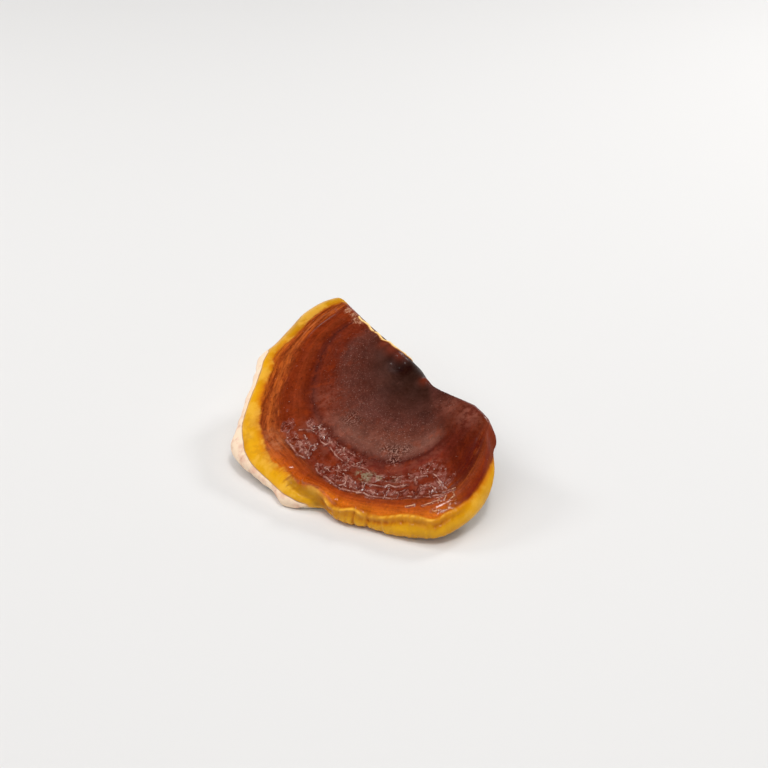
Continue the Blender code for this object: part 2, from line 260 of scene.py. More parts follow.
# How wide the colour draws the wrinkles and the veins, and how much wider the relief does, which is as
# coarse as the mesh.
WRINKLE_WIDTH = 0.00030
VEIN_WIDTH = 0.027
RELIEF_SPREAD = 2.4

# How the crust's pattern drifts, and how it is stretched along the rim.
CRUST_LAYER = 0.31
CRUST_DRIFT = 0.0030
CRUST_DRIFT_SIZE = 0.0034
CRUST_STRETCH = 0.55

# How far from a lone wrinkle the crust still follows it.
FOLD_REACH = 0.0040

# Patches on the cap's plane, each as its centre, how far it spreads and how strong it is.
SPECK_PATCHES = (
    ((-0.0142, -0.0383), 0.0042, 0.6), ((0.0105, -0.0492), 0.0026, 0.9), ((0.0150, -0.0492), 0.0034, 1.0),
    ((0.0195, -0.0462), 0.0030, 0.9), ((0.0172, -0.0540), 0.0030, 1.0),
)
SMUDGES = (
    ((0.0086, -0.0682), 0.0032, 1.0), ((0.0152, -0.0662), 0.0018, 0.9), ((0.0050, -0.0674), 0.0024, 0.7),
    ((0.0232, -0.0643), 0.0044, 0.30), ((0.0110, -0.0660), 0.0026, 0.6),
)
TORN_PATCHES = (
    ((-0.0503, 0.0279), 0.0026, 1.0), ((-0.0421, 0.0233), 0.0034, 1.0),
    ((-0.0460, 0.0262), 0.0030, 0.7),
)
GLOWS = (
    ((-0.0214, 0.0127), 0.0034, 0.9), ((-0.0160, 0.0100), 0.0036, 0.9), ((-0.0110, 0.0082), 0.0030, 0.8),
    ((0.0560, -0.0218), 0.0050, 1.0), ((0.0083, -0.0018), 0.0028, 0.9),
)
# Patches of painted shade: near black in the hollow beside the hub, and darker places on the right of the top.
SHADED_HOLLOWS = (
    ((-0.0080, 0.0027), 0.0040, 1.0), ((-0.0150, 0.0052), 0.0030, 0.5), ((-0.0040, 0.0010), 0.0046, 0.7),
    ((0.0010, 0.0000), 0.0040, 0.5), ((0.0200, -0.0240), 0.0054, 0.50), ((0.0280, -0.0250), 0.0048, 0.50),
    ((0.0225, -0.0070), 0.0050, 0.40),
)

# Creases across the front brim: direction and width in degrees, and depth as a share.
BRIM_CREASES = (
    (272.0, 0.50, 0.6), (274.6, 0.35, 0.5), (276.9, 0.50, 1.0), (281.2, 0.60, 0.9), (286.0, 0.60, 0.35),
)

# Pale, chalky patches.
PALE_PATCHES = (
    ((-0.0256, -0.0415), 0.0060, 1.0), ((-0.0150, -0.0465), 0.0052, 0.9),
    ((-0.0330, -0.0300), 0.0070, 0.8), ((-0.0430, -0.0640), 0.0056, 1.3),
    ((-0.0490, -0.0600), 0.0044, 1.1), ((0.0400, -0.0160), 0.0080, 1.0),
    ((0.0040, -0.0440), 0.0080, 0.9), ((0.0270, -0.0130), 0.0060, 0.8),
    ((0.0160, -0.0420), 0.0050, 0.7),
)

# Directions between which things set in, and fade again where four are given.
SWEEPS = {
    "front": (224, 252),
    "right": (300, 314),
    "low": (208, 222),
    "high": (190, 170),
    "tip": (319, 327),
    "ridges": (250, 236),
    "crust": (220, 230, 304, 314),
    "annulus": (225, 233, 304, 310),
    "blotches": (214, 222, 252, 258),
    "fingers": (239, 244, 252, 256),
    "pleats": (260, 267, 303, 316),
}

# Growths, and distances in from the rim, between which things set in and fade again.
RIDGE_GROWTHS = (0.785, 0.81, 0.89, 0.91)
ANNULUS_GROWTHS = (0.575, 0.60, 0.78, 0.81)
BLOTCH_RIMS = (0.008, 0.010, 0.017, 0.021)
FINGER_RIMS = (0.007, 0.010, 0.015, 0.019)

# How strong the amber ridges are on the front, and how far they sway.
RIDGED_SHARE = 0.35
RIDGE_SWAY = 0.012

# The knobbed crest and the trough of the front brim, by their distance out from the yellow's inner edge.
CREST_PLACE = 0.0012
CREST_WIDTH = 0.0016
TROUGH_PLACE = 0.0038

# The crease beside the white lip, where the colour paints a thin line of shade, and the widths over which the
# lip, the straight sides and the tip set in.
CREASE_PLACE = 0.0001
LIPPED_WIDTH = 0.002
SIDE_WIDTH = 0.0028
TIP_WIDTH = 0.010

# The overhead light: where it comes from, and how wide it looks from the piece, as an angle.
FILL_PLACE = (-0.25, -0.30, 1.3)
FILL_SPREAD = math.radians(80)

# The light on the left, and the small ones that show in the gloss.
KEY_PLACE = (-1.0, 0.42, 0.85)
KEY_SIZE = 0.36
GLINT_PLACES = ((0.75, 0.70, 0.75), (0.15, -0.40, 1.20))
GLINT_SIZE = 0.25

# The room's light at the horizon and overhead, and the floor's disc.
HORIZON = (0.92, 0.92, 0.92)
OVERHEAD = (0.07, 0.07, 0.07)
FLOOR_SIDES = 128

# How finely the pieces are drawn. The cap's inner rows keep only every 8th, 4th or 2nd column.
SOFT_COLUMNS = 24
SOFT_SHARE = 0.030
FAN_COLUMNS = 560
CRUST_SHARE = 1.1
COLUMN_STEPS = ((0.10, 8), (0.30, 4), (0.58, 2), (1.0, 1))
BACK_GROWTH = 0.10
BACK_ROWS = 14
INNER_ROWS = 56
OUTER_ROWS = 76
BRIM_GROWTH = 0.90
BRIM_ROWS = 24
STEM_SIDES = 192
STEM_ROWS = 120
STEM_TOP = -0.14
STEM_FLARE = 0.0016
CUT_RINGS = 22

# One unit of growth as a length, for patterns that follow the growth lines.
RADIAL_SPAN = 0.09

# How much the gloss adds to each channel of the lacquer, taken off its own colour.
SHEEN = 0.007
BUMP_STRENGTH = 0.8

# The pale lip on the left of the hub: how far in from the edge it stands, how far it waves, its width, and
# the distances from the hub between which it shows.
LIP_PLACE = 0.0030
LIP_WAVE = 0.0004
LIP_WAVES = 700
LIP_WIDTH = 0.00060
LIP_REACH = (0.009, 0.013, 0.049, 0.052)

# On the underside the skin covers the growths below this, and this much round the stem.
SKIN_GROWTH = 0.10
SKIN_REACH = 0.0020

# How the haze of the bloom is cut, and how large the pores are.
HAZE_LIMITS = (-0.10, 0.16)
PORE_SIZE = 0.00042

# Which values of each property group its geometry tree takes.
CAP_SIZES = (
    "band_height", "streak_height", "lump_height", "ridge_height", "ridge_spacing", "crust_height",
    "wrinkle_height", "pleat_depth", "fold_height", "roll_height", "crest_height", "finger_height",
    "crease_depth", "lip_height", "wave_height", "edge_height", "tear_height", "speck_height",
)
STEM_SIZES = ("furrow_height", "ring_height")
DUST_SIZES = ("density", "grain_radius", "seed")

# Colours of the cap from the hub to the yellow, by growth, as a screen shows them: on the left, on the
# front and on the right. The dark stops at the hub are painted shadow over the hub's own dark colour, and
# the dark stops just short of growth 0.6 are painted shade in the groove there.
LEFT_ZONES = (
    (0.00, (50, 34, 30)), (0.12, (64, 42, 38)), (0.18, (78, 49, 42)), (0.30, (88, 48, 40)),
    (0.42, (104, 55, 45)), (0.48, (101, 39, 25)), (0.55, (110, 43, 26)), (0.59, (84, 36, 29)),
    (0.625, (102, 37, 20)), (0.69, (124, 50, 26)), (0.76, (118, 44, 22)), (0.80, (124, 50, 24)),
    (0.84, (168, 82, 34)), (0.86, (140, 62, 27)), (0.875, (156, 70, 27)), (0.895, (174, 88, 26)),
)
FRONT_ZONES = (
    (0.00, (56, 40, 35)), (0.18, (66, 41, 35)), (0.26, (82, 48, 41)), (0.36, (100, 56, 48)),
    (0.44, (108, 61, 50)), (0.51, (120, 76, 64)), (0.545, (116, 68, 57)), (0.575, (82, 34, 27)),
    (0.62, (112, 46, 36)), (0.69, (104, 38, 22)), (0.77, (118, 46, 30)), (0.805, (124, 52, 26)),
    (0.84, (152, 62, 23)), (0.875, (176, 78, 22)), (0.91, (202, 102, 24)),
)
RIGHT_ZONES = (
    (0.00, (58, 39, 35)), (0.15, (88, 50, 44)), (0.28, (92, 49, 41)), (0.42, (96, 47, 37)),
    (0.51, (92, 41, 29)), (0.57, (82, 32, 22)), (0.64, (88, 34, 25)), (0.73, (88, 32, 20)),
    (0.81, (88, 28, 13)), (0.845, (94, 34, 18)), (0.87, (120, 52, 28)), (0.90, (126, 48, 20)),
    (0.935, (106, 33, 8)), (0.965, (154, 74, 22)),
)

# Colours across the yellow band, by the distance out from its inner edge as a share of YELLOW_RUN.
YELLOW_RUN = 0.0100
YELLOW_TONES = (
    (0.0, (196, 104, 3)), (0.15, (214, 134, 4)), (0.35, (226, 158, 10)), (0.75, (230, 166, 14)),
    (1.0, (222, 154, 12)),
)

# Colours of the underside, by the distance from the stem as a share of UNDER_RUN.
UNDER_RUN = 0.060
UNDER_TONES = (
    (0.0, (132, 92, 62)), (0.12, (176, 140, 104)), (0.4, (216, 192, 158)), (1.0, (238, 222, 200)),
)


class Grain(NamedTuple):
    """A fine pattern of soft noise.

    It lies in the object's space. Where it names a mark, it lies on the skin instead: across by that mark,
    and along the rim, at a layer of its own. It climbs from 0 to 1 between its limits, or else waves around 0.
    """

    size: float
    detail: float = 2.0
    roughness: float = 0.5
    mark: str = ""
    stretch: tuple = (1.0, 1.0, 1.0)
    layer: float = 0.0
    limits: tuple = ()


GRAINS = {
    "relief bands": Grain(0.0021, 3.0, mark="growth", stretch=(1.0, 0.06)),
    "relief streaks": Grain(0.0024, 3.0, mark="growth", stretch=(0.12, 1.0)),
    "lumps": Grain(0.0052),
    "ridge sway": Grain(0.011, mark="growth", stretch=(0.5, 1.0)),
    "swell": Grain(0.0070, mark="yellow", layer=0.5),
    "pleats": Grain(0.0064, mark="yellow", stretch=(0.40, 1.0), layer=0.7),
    "knobs": Grain(0.0030, mark="yellow", stretch=(0.5, 1.0), layer=0.2, limits=(0.30, 0.70)),
    "fingers": Grain(0.0024, mark="growth", stretch=(0.35, 1.0), layer=0.1),
    "lip wave": Grain(0.0095, 1.0, mark="rim", stretch=(0.6, 1.0)),
    "lip breaks": Grain(0.0030, 3.0, mark="growth", stretch=(1.0, 0.0), layer=0.4, limits=(0.20, 0.42)),
    "tears": Grain(0.0013, 4.0, 0.7),
    "crust edges": Grain(0.0060, 4.0, 0.6),
    "veins": Grain(0.0044),
    "wrinkle sway": Grain(0.0022),
    "line breaks": Grain(0.0056, 3.0, 0.6, limits=(0.34, 0.56)),
    "wander": Grain(0.016, 3.0, mark="growth", stretch=(0.35, 1.0)),
    "zone edges": Grain(0.0022, 3.0),
    "bands": Grain(0.0018, 3.0, mark="growth", stretch=(1.0, 0.05)),
    "streaks": Grain(0.0019, 4.0, 0.6, mark="growth", stretch=(0.10, 1.0)),
    "mottle": Grain(0.0060, 5.0, 0.65),
    "grit": Grain(0.0012, 3.0, 0.65),
    "nicks": Grain(0.0016, 3.0, 0.6, mark="growth", stretch=(1.0, 0.35), limits=(0.58, 0.68)),
    "embers": Grain(0.0052, 4.0, 0.6, mark="growth", stretch=(1.0, 0.5), layer=0.9, limits=(0.50, 0.66)),
    "motes": Grain(0.0011, limits=(0.72, 0.78)),
    "threads": Grain(0.0011, 3.0, 0.6, mark="growth", stretch=(1.0, 0.10), layer=0.6),
    "haze": Grain(0.0085, 5.0, 0.65),
    "chalk": Grain(0.0030, 5.0, 0.7, limits=(0.40, 0.62)),
    "dust": Grain(0.0008, limits=(0.60, 0.70)),
    "milk": Grain(0.0034, 4.0, 0.6, limits=(0.40, 0.60)),
    "glints": Grain(0.0010, limits=(0.62, 0.72)),
    "moss": Grain(0.0016, 4.0, 0.6, limits=(0.42, 0.56)),
    "flecks": Grain(0.0009, 3.0, mark="growth", stretch=(1.0, 0.6)),
    "ragged": Grain(0.0040, 4.0, 0.6, mark="growth", stretch=(0.6, 1.0)),
    "gold streaks": Grain(0.012, 3.0, mark="growth", stretch=(0.5, 1.0)),
    "lemon": Grain(0.0100, 4.0, 0.6, limits=(0.46, 0.62)),
    "blotches": Grain(0.0060, 5.0, 0.65, limits=(0.44, 0.62)),
    "olive": Grain(0.014, 3.0, limits=(0.50, 0.70)),
    "under rings": Grain(0.0030, 3.0, mark="growth", stretch=(1.0, 0.1)),
    "blush": Grain(0.0065, 3.0, mark="rim", limits=(0.44, 0.68)),
    "pits": Grain(0.0013, 3.0, 0.6, mark="rim", layer=0.8, limits=(0.60, 0.70)),
    "cap wear": Grain(0.0050, 4.0, 0.6),
    "cap skin": Grain(0.0007, 3.0, 0.6),
    "furrows": Grain(0.0042, 3.0, stretch=(1.0, 1.0, 0.30)),
    "stem rings": Grain(0.0030, stretch=(0.15, 0.15, 1.0)),
    "stem wear": Grain(0.0048, 4.0, 0.6, stretch=(1.0, 1.0, 0.4)),
    "stem skin": Grain(0.0009, 3.0, 0.6),
    "fibres": Grain(0.0011, 4.0, 0.65, stretch=(1.0, 0.25, 1.0)),
    "dust shade": Grain(0.004, limits=(0.35, 0.65)),
}

# Tints laid over other colours: each as a screen shows it, and how strongly it covers at its fullest.
TINTS = {
    "nicks": ((60, 20, 12), 0.50),
    "embers": ((158, 60, 22), 0.30),
    "motes": ((198, 156, 140), 0.45),
    "ridge_shade": ((92, 32, 12), 0.60),
    "ridge_light": ((208, 102, 38), 0.45),
    "amber_chalk": ((178, 108, 72), 1.0),
    "dust": ((170, 128, 114), 0.50),
    "glow": ((134, 54, 34), 0.80),
    # Painted shade in the hollows beside the hub.
    "hollow": ((34, 21, 18), 0.75),
    "annulus": ((140, 78, 62), 0.32),
    "glaze": ((142, 84, 74), 1.0),
    "glaze_shade": ((92, 26, 14), 0.35),
    # Painted shadow beside the crust's raised lines.
    "crust_hollow": ((62, 16, 10), 0.62),
    # Painted highlights: white glints on the crust, and peach ones on the amber wrinkles.
    "glint": ((236, 206, 190), 1.0),
    "amber_line": ((248, 196, 150), 1.0),
    "smudge": ((150, 138, 110), 0.66),
    "dark_specks": ((38, 18, 18), 0.85),
    "pale_specks": ((184, 142, 128), 0.70),
    "torn": ((150, 88, 62), 0.60),
    "torn_edge": ((206, 158, 128), 0.80),
    "lemon": ((240, 186, 72), 0.48),
    # Painted shade in the brim's valley, and a painted highlight on its ridge.
    "valley": ((142, 88, 6), 1.0),
    "ridge": ((242, 170, 52), 0.65),
    "fingers": ((150, 88, 10), 0.65),
    "blotches": ((176, 108, 24), 0.32),
    # Painted shade in the front brim's creases, pleats and trough, and a painted highlight along its crest.
    "creases": ((172, 90, 0), 1.0),
    "crest": ((250, 188, 66), 0.70),
    "olive": ((194, 136, 16), 0.40),
    "tip": ((116, 40, 14), 0.80),
    "pores": ((150, 118, 84), 0.40),
    "blush": ((224, 176, 150), 1.0),
    "pits": ((166, 104, 84), 0.50),
    # Painted shade in the crease beside the white lip.
    "seam": ((128, 92, 48), 0.70),
    "lip_shade": ((150, 82, 28), 1.0),
    "lip_light": ((252, 212, 140), 1.0),
    "rust": ((92, 38, 26), 1.0),
    "fibres": ((186, 146, 104), 1.0),
    "cut_rim": ((96, 54, 34), 1.0),
    "dust_shade": ((120, 78, 66), 1.0),
}


def screen(red, green, blue):
    """A colour as a screen shows it, 0 to 255, as the linear colour that a shader takes."""
    shares = (channel / 255 for channel in (red, green, blue))
    return tuple(c / 12.92 if c <= 0.04045 else ((c + 0.055) / 1.055) ** 2.4 for c in shares)


class Value:
    """A socket of a node tree. Arithmetic on it adds Math nodes to the tree."""

    def __init__(self, socket):
        self.socket = socket

    def __add__(self, other):
        return maths("ADD", self, other)

    __radd__ = __add__

    def __sub__(self, other):
        return maths("SUBTRACT", self, other)

    def __rsub__(self, other):
        return maths("SUBTRACT", other, self)

    def __mul__(self, other):
        return maths("MULTIPLY", self, other)

    __rmul__ = __mul__

    def __truediv__(self, other):
        return maths("DIVIDE", self, other)

    def __abs__(self):
        return maths("ABSOLUTE", self)

    def climb(self, low, high):
        """0 at low, 1 at high, an easy slope between, and level beyond both."""
        settings = {"interpolation_type": "SMOOTHSTEP"}
        sockets = {"Value": self, "From Min": low, "From Max": high}
        return Tree(self.socket.id_data).node("ShaderNodeMapRange", settings, sockets)

    def line(self, width):
        """1 where the value is 0, fading out within the width on both sides."""
        return 1 - abs(self).climb(0, width)


def maths(operation, *items):
    """One Math node on values and plain numbers."""
    tree = next(item for item in items if isinstance(item, Value)).socket.id_data
    node = tree.nodes.new("ShaderNodeMath")
    node.operation = operation
    for socket, item in zip(node.inputs, items):
        feed(socket, item)
    return Value(node.outputs[0])


def highest(first, *others):
    """The highest of several values."""
    for other in others:
        first = maths("MAXIMUM", first, other)
    return first


def feed(socket, item):
    """Links a value to a socket, or sets a plain number, colour, vector or name on it."""
    if isinstance(item, Value):
        socket.id_data.links.new(item.socket, socket)
    elif socket.type == "RGBA":
        socket.default_value = (*item[:3], 1.0)
    else:
        socket.default_value = item


class Tree:
    """A shader tree or a geometry tree under construction."""

    def __init__(self, tree):
        self.tree = tree

    def node(self, kind, settings=None, sockets=None, output=0):
        """Adds a node, sets it up, feeds its sockets, and gives one of its outputs."""
        node = self.tree.nodes.new(kind)
        for name, setting in (settings or {}).items():
            if name == "stops":
                set_stops(node.color_ramp, setting)
            else:
                setattr(node, name, setting)
        for name, item in (sockets or {}).items():
            feed(node.inputs[name], item)
        return Value(node.outputs[output]) if len(node.outputs) else node

    def mark(self, name):
        """A value stored on the points of the mesh."""
        if self.tree.type == "SHADER":
            return self.node("ShaderNodeAttribute", {"attribute_name": name}, output="Fac")
        return self.node("GeometryNodeInputNamedAttribute", {"data_type": "FLOAT"}, {"Name": name})

    def place(self):
        """Where a point is, in the object's own space."""
        if self.tree.type == "SHADER":
            return self.node("ShaderNodeTexCoord", output="Object")
        return self.node("GeometryNodeInputPosition")

    def vector(self, x=0.0, y=0.0, z=0.0):
        """A vector of three values."""
        return self.node("ShaderNodeCombineXYZ", None, {"X": x, "Y": y, "Z": z})

    def split(self, vector):
        """The three values of a vector."""
        first = self.node("ShaderNodeSeparateXYZ", None, {"Vector": vector})
        return [Value(socket) for socket in first.socket.node.outputs]

    def scale(self, vector, factor):
        """A vector or colour times a value."""
        return self.node("ShaderNodeVectorMath", {"operation": "SCALE"}, {0: vector, "Scale": factor})

    def combine(self, operation, first, second):
        """Two vectors or colours worked into one, channel by channel."""
        return self.node("ShaderNodeVectorMath", {"operation": operation}, {0: first, 1: second})

    def noise(self, place, size, detail=2.0, roughness=0.5, output="Fac"):
        """Soft noise around 0.5, with forms of about the size given."""
        sockets = {"Vector": place, "Scale": 1 / size, "Detail": detail, "Roughness": roughness}
        return self.node("ShaderNodeTexNoise", None, sockets, output)

    def grain(self, name, place=None):
        """One of the fine patterns, at a place of its own if one is given."""
        row = GRAINS[name]
        if row.mark:
            reach = RADIAL_SPAN if row.mark == "growth" else 1.0
            across = self.mark(row.mark) * (row.stretch[0] * reach)
            place = self.vector(across, self.mark("along") * row.stretch[1], row.layer)
        elif place is None:
            place = self.combine("MULTIPLY", self.place(), row.stretch)
        wave = self.noise(place, row.size, row.detail, row.roughness)
        return wave.climb(*row.limits) if row.limits else wave - 0.5

    def cells(self, place, size):
        """Round cells of about the size given: the distance from their middles, as a share of the size."""
        sockets = {"Vector": place, "Scale": 1 / size}
        return self.node("ShaderNodeTexVoronoi", {"feature": "F1"}, sockets, "Distance")

    def mix(self, share, first, second):
        """A colour between two."""
        return self.node("ShaderNodeMix", {"data_type": "RGBA"}, {0: share, 6: first, 7: second}, 2)

    def paint(self, colour, **covers):
        """A colour with named tints over it, one after the other, each as far as its cover says."""
        for name, cover in covers.items():
            tint, strength = TINTS[name]
            colour = self.mix(cover * strength, colour, screen(*tint))
        return colour

    def ramp(self, share, stops):
        """A colour read off a row of (place, screen colour) stops."""
        return self.node("ShaderNodeValToRGB", {"stops": stops}, {"Fac": share})

    def bump(self, height):
        """The normal of a finely uneven skin. The height is in metres."""
        put = {"Strength": BUMP_STRENGTH, "Distance": 1.0, "Height": height}
        return self.node("ShaderNodeBump", None, put)


def set_stops(ramp, stops):
    """Gives a colour ramp its (place, screen colour) stops."""
    while len(ramp.elements) < len(stops):
        ramp.elements.new(1.0)
    for element, (place, colour) in zip(ramp.elements, stops):
        element.position = place
        element.color = (*screen(*colour), 1.0)


def new_material(name):
    """A material, its tree, and the Principled shader in it."""
    material = bpy.data.materials.new(name)
    material.use_nodes = True
    return material, Tree(material.node_tree), material.node_tree.nodes["Principled BSDF"]


def dress(shader, sockets):
    """Feeds the named sockets of a shader."""
    for name, item in sockets.items():
        feed(shader.inputs[name], item)


def geometry_tree(name, inputs):
    """A geometry tree with a geometry, named numbers and a material coming in, and what comes in."""
    group = bpy.data.node_groups.new(name, "GeometryNodeTree")
    group.interface.new_socket(name="Geometry", in_out="INPUT", socket_type="NodeSocketGeometry")
    for label, value in inputs.items():
        kind = "NodeSocketInt" if isinstance(value, int) else "NodeSocketFloat"
        group.interface.new_socket(name=label, in_out="INPUT", socket_type=kind)
    group.interface.new_socket(name="Material", in_out="INPUT", socket_type="NodeSocketMaterial")
    group.interface.new_socket(name="Geometry", in_out="OUTPUT", socket_type="NodeSocketGeometry")
    entry = group.nodes.new("NodeGroupInput")
    return Tree(group), {socket.name: Value(socket) for socket in entry.outputs if socket.name}


def close_tree(tree, geometry, material):
    """Ends a geometry tree: instances are made real, and take the material."""
    real = tree.node("GeometryNodeRealizeInstances", None, {"Geometry": geometry})
    painted = tree.node("GeometryNodeSetMaterial", None, {"Geometry": real, "Material": material})
    tree.node("NodeGroupOutput", None, {"Geometry": painted})


def close_relief(tree, put, height):
    """Ends a relief's tree: each point moves along its normal, and those below the floor go up to it."""
    offset = tree.scale(tree.node("GeometryNodeInputNormal"), height)
    moved = tree.node("GeometryNodeSetPosition", None, {"Geometry": put["Geometry"], "Offset": offset})
    x, y, z = tree.split(tree.place())
    level = tree.vector(x, y, highest(z, 0.0))
    settled = tree.node("GeometryNodeSetPosition", None, {"Geometry": moved, "Position": level})
    close_tree(tree, settled, put["Material"])


def tree_inputs(looks, names):
    """Values of a property group, under the names that a geometry tree gives them."""
    return {name.replace("_", " ").title(): getattr(looks, name) for name in names}


def run_tree(item, tree, inputs, material):
    """Runs an object's mesh through a geometry tree, and gives the object the result as its plain mesh."""
    modifier = item.modifiers.new(tree.tree.name, "NODES")
    modifier.node_group = tree.tree
    values = {**inputs, "Material": material}
    for socket in tree.tree.interface.items_tree:
        if socket.in_out == "INPUT" and socket.name in values:
            modifier[socket.identifier] = values[socket.name]
    graph = bpy.context.evaluated_depsgraph_get()
    result = item.evaluated_get(graph)
    mesh = bpy.data.meshes.new_from_object(result, preserve_all_data_layers=True, depsgraph=graph)
    item.modifiers.remove(modifier)
    item.data = mesh
    if not len(mesh.polygons):
        raise RuntimeError(f"{item.name} came out of its geometry tree empty")
    mesh.shade_smooth()
    return item


def mesh_piece(name, points, faces, marks):
    """A new object with a mesh in its place, and values stored on its points."""
    mesh = bpy.data.meshes.new(name)
    mesh.from_pydata(points.tolist(), [], faces)
    for label, values in marks.items():
        layer = mesh.attributes.new(label, "FLOAT", "POINT")
        layer.data.foreach_set("value", np.asarray(values, np.float32))
    item = bpy.data.objects.new(name, mesh)
    bpy.context.scene.collection.objects.link(item)
    return item


def through(points, x):
    """The smooth curve through (place, value) points, at x, level beyond both ends."""
    places = np.array([place for place, _ in points], float)
    values = np.array([value for _, value in points], float)
    slopes = np.gradient(values, places)
    x = np.clip(x, places[0], places[-1])
    k = np.clip(np.searchsorted(places, x, side="right") - 1, 0, len(places) - 2)
    step = places[k + 1] - places[k]
    t = (x - places[k]) / step
    start = values[k] * (1 + 2 * t) * (1 - t) ** 2 + slopes[k] * step * t * (1 - t) ** 2
    end = values[k + 1] * t * t * (3 - 2 * t) + slopes[k + 1] * step * t * t * (t - 1)
    return start + end


def smooth_step(t):
    """0 below 0, 1 above 1, and an easy slope between."""
    t = np.clip(t, 0, 1)
    return t * t * (3 - 2 * t)


def between(x, start, full, fade=None, end=None):
    """An easy slope from 0 at start to 1 at full, and where an end is given, from 1 at fade to 0 there."""
    rise = smooth_step((x - start) / (full - start))
    return rise if end is None else rise * smooth_step((end - x) / (end - fade))


def hump(distance, width):
    """1 where the distance is 0, and falling away like a bell of the given width."""
    return np.exp(-((distance / width) ** 2))


def directions(line, shares):
    """Directions from the hub at shares of the sweep of a growth line."""
    return line[0][0] + (line[-1][0] - line[0][0]) * shares


def line_points(line, shares):
    """Points on a growth line, at shares of its sweep."""
    direction = directions(line, shares)
    angle = np.radians(direction)
    return np.stack((np.cos(angle), np.sin(angle)), axis=1) * through(line, direction)[:, None]


def plan(shares, growths):
    """The grid of the cap's plane: one column for each share of the sweep, one row for each growth."""
    hub = np.outer(1 - shares, HUB_LEFT) + np.outer(shares, HUB_RIGHT)
    hub += np.outer(4 * shares * (1 - shares), HUB_BULGE)
    lines = [hub] + [line_points(line, shares) for line in (EARLY_LINE, LATE_LINE, MARGIN)]
    places = (0, EARLY_GROWTH, LATE_GROWTH, 1)
    rows = []
    for growth in growths:
        k = min(int(np.searchsorted(places, growth, side="right")) - 1, 2)
        t = (growth - places[k]) / (places[k + 1] - places[k])
        rows.append(lines[k] + (lines[k + 1] - lines[k]) * t)
    return np.stack(rows, axis=1)


def away(flat, edge):
    """How far each point of the grid is from a place, or from its own place on one edge of the grid."""
    return np.linalg.norm(flat - np.array(edge), axis=2)


def side_distance(flat):
    """How far each point of the grid is from the nearer of the two straight edges."""
    return np.minimum(away(flat, flat[:1]), away(flat, flat[-1:]))


def roll(distance, width):
    """0 on an edge, rising like a quarter round to 1 at the given width from it."""
    t = np.clip(distance / width, 0, 1)
    return np.sqrt(1 - (1 - t) ** 2)


def edge_rolls(flat, brim_width, back_width, side_width):
    """How far each point of the grid has risen from the nearest edges, from 0 to 1."""
    brim = roll(away(flat, flat[:, -1:]), brim_width)
    back = roll(away(flat, flat[:, :1]), back_width)
    sides = roll(away(flat, flat[:1]), side_width) * roll(away(flat, flat[-1:]), side_width)
    return brim * back * sides


def patches(flat, spots):
    """Soft round patches on the plane, from 0 to their strength."""
    humps = [strength * hump(away(flat, centre), spread) for centre, spread, strength in spots]
    return np.max(humps, axis=0)


def closeness(flat, routes, reach):
    """How close each point is to the nearest of the routes: 1 on one, and 0 from the reach on."""
    nearest = np.full(flat.shape[:2], reach)
    for line in routes:
        for start, end in zip(line, line[1:]):
            start, run = np.array(start), np.array(end) - np.array(start)
            share = np.clip((flat - start) @ run / (run @ run), 0, 1)
            nearest = np.minimum(nearest, away(flat, start + share[..., None] * run))
    return 1 - nearest / reach


def top_heights(flat, growths, direction):
    """Heights of the lacquered side, before its edges roll over."""
    lumps = [[noise.noise(Vector((x, y, LUMP_SLICE))) for x, y in column] for column in flat / LUMP_SIZE]
    ledges = LEDGE_SHARE * through(LEDGES, growths) * smooth_step(side_distance(flat) / LEDGE_FADE)
    heights = through(CROWN, growths) + ledges + LUMP_HEIGHT * np.array(lumps)
    for place, spread, height in SWELLS:
        heights = heights + height * hump(away(flat, place), spread)
    heights = heights + RIDGE_RISE * smooth_step(closeness(flat, BRIM_RIDGE, RIDGE_WIDTH))
    heights = heights - VALLEY_DEPTH * smooth_step(closeness(flat, BRIM_VALLEY, RIDGE_WIDTH))
    brim = between(growths, LATE_GROWTH, 1)
    for centre, spread, height in BRIM_FOLDS:
        heights = heights + height * hump(direction - centre, spread) * brim
    return heights


def under_depths(flat):
    """Depths of the pored side below the cap's plane, before its edges roll over."""
    gap = away(flat, SEAT_CENTRE)
    return SEAT_DEPTH + (BRIM_DEPTH - SEAT_DEPTH) * smooth_step((gap - SEAT_RADIUS) / SEAT_FLARE)


def cap_shares():
    """Shares of the fan's sweep, one for each column, closer together at its straight edges and its crust."""
    soft = SOFT_SHARE * (np.arange(SOFT_COLUMNS) / SOFT_COLUMNS) ** 2
    even = np.linspace(SOFT_SHARE, 1 - SOFT_SHARE, 4 * FAN_COLUMNS)
    crowding = np.cumsum(1 + CRUST_SHARE * between(directions(MARGIN, even), *SWEEPS["crust"]))
    places = np.linspace(crowding[0], crowding[-1], FAN_COLUMNS + 1)
    return np.concatenate((soft, np.interp(places, crowding, even), 1 - soft[::-1]))


def cap_growths():
    """Growths of the rows, set closer together where the back and the brim roll over."""
    back = BACK_GROWTH * (1 - np.cos(np.linspace(0, math.pi / 2, BACK_ROWS + 1)))
    inner = np.linspace(BACK_GROWTH, EARLY_GROWTH, INNER_ROWS + 1)
    outer = np.linspace(EARLY_GROWTH, BRIM_GROWTH, OUTER_ROWS + 1)
    brim = 1 - (1 - BRIM_GROWTH) * (1 - np.sin(np.linspace(0, math.pi / 2, BRIM_ROWS + 1)))
    return np.concatenate((back, inner[1:], outer[1:], brim[1:]))


def length_in(sheet):
    """How far each point of a sheet is from the rim, along its own column."""
    steps = np.linalg.norm(np.diff(sheet[:, ::-1], axis=1), axis=2)
    return np.concatenate((np.zeros((len(sheet), 1)), np.cumsum(steps, axis=1)), axis=1)[:, ::-1]


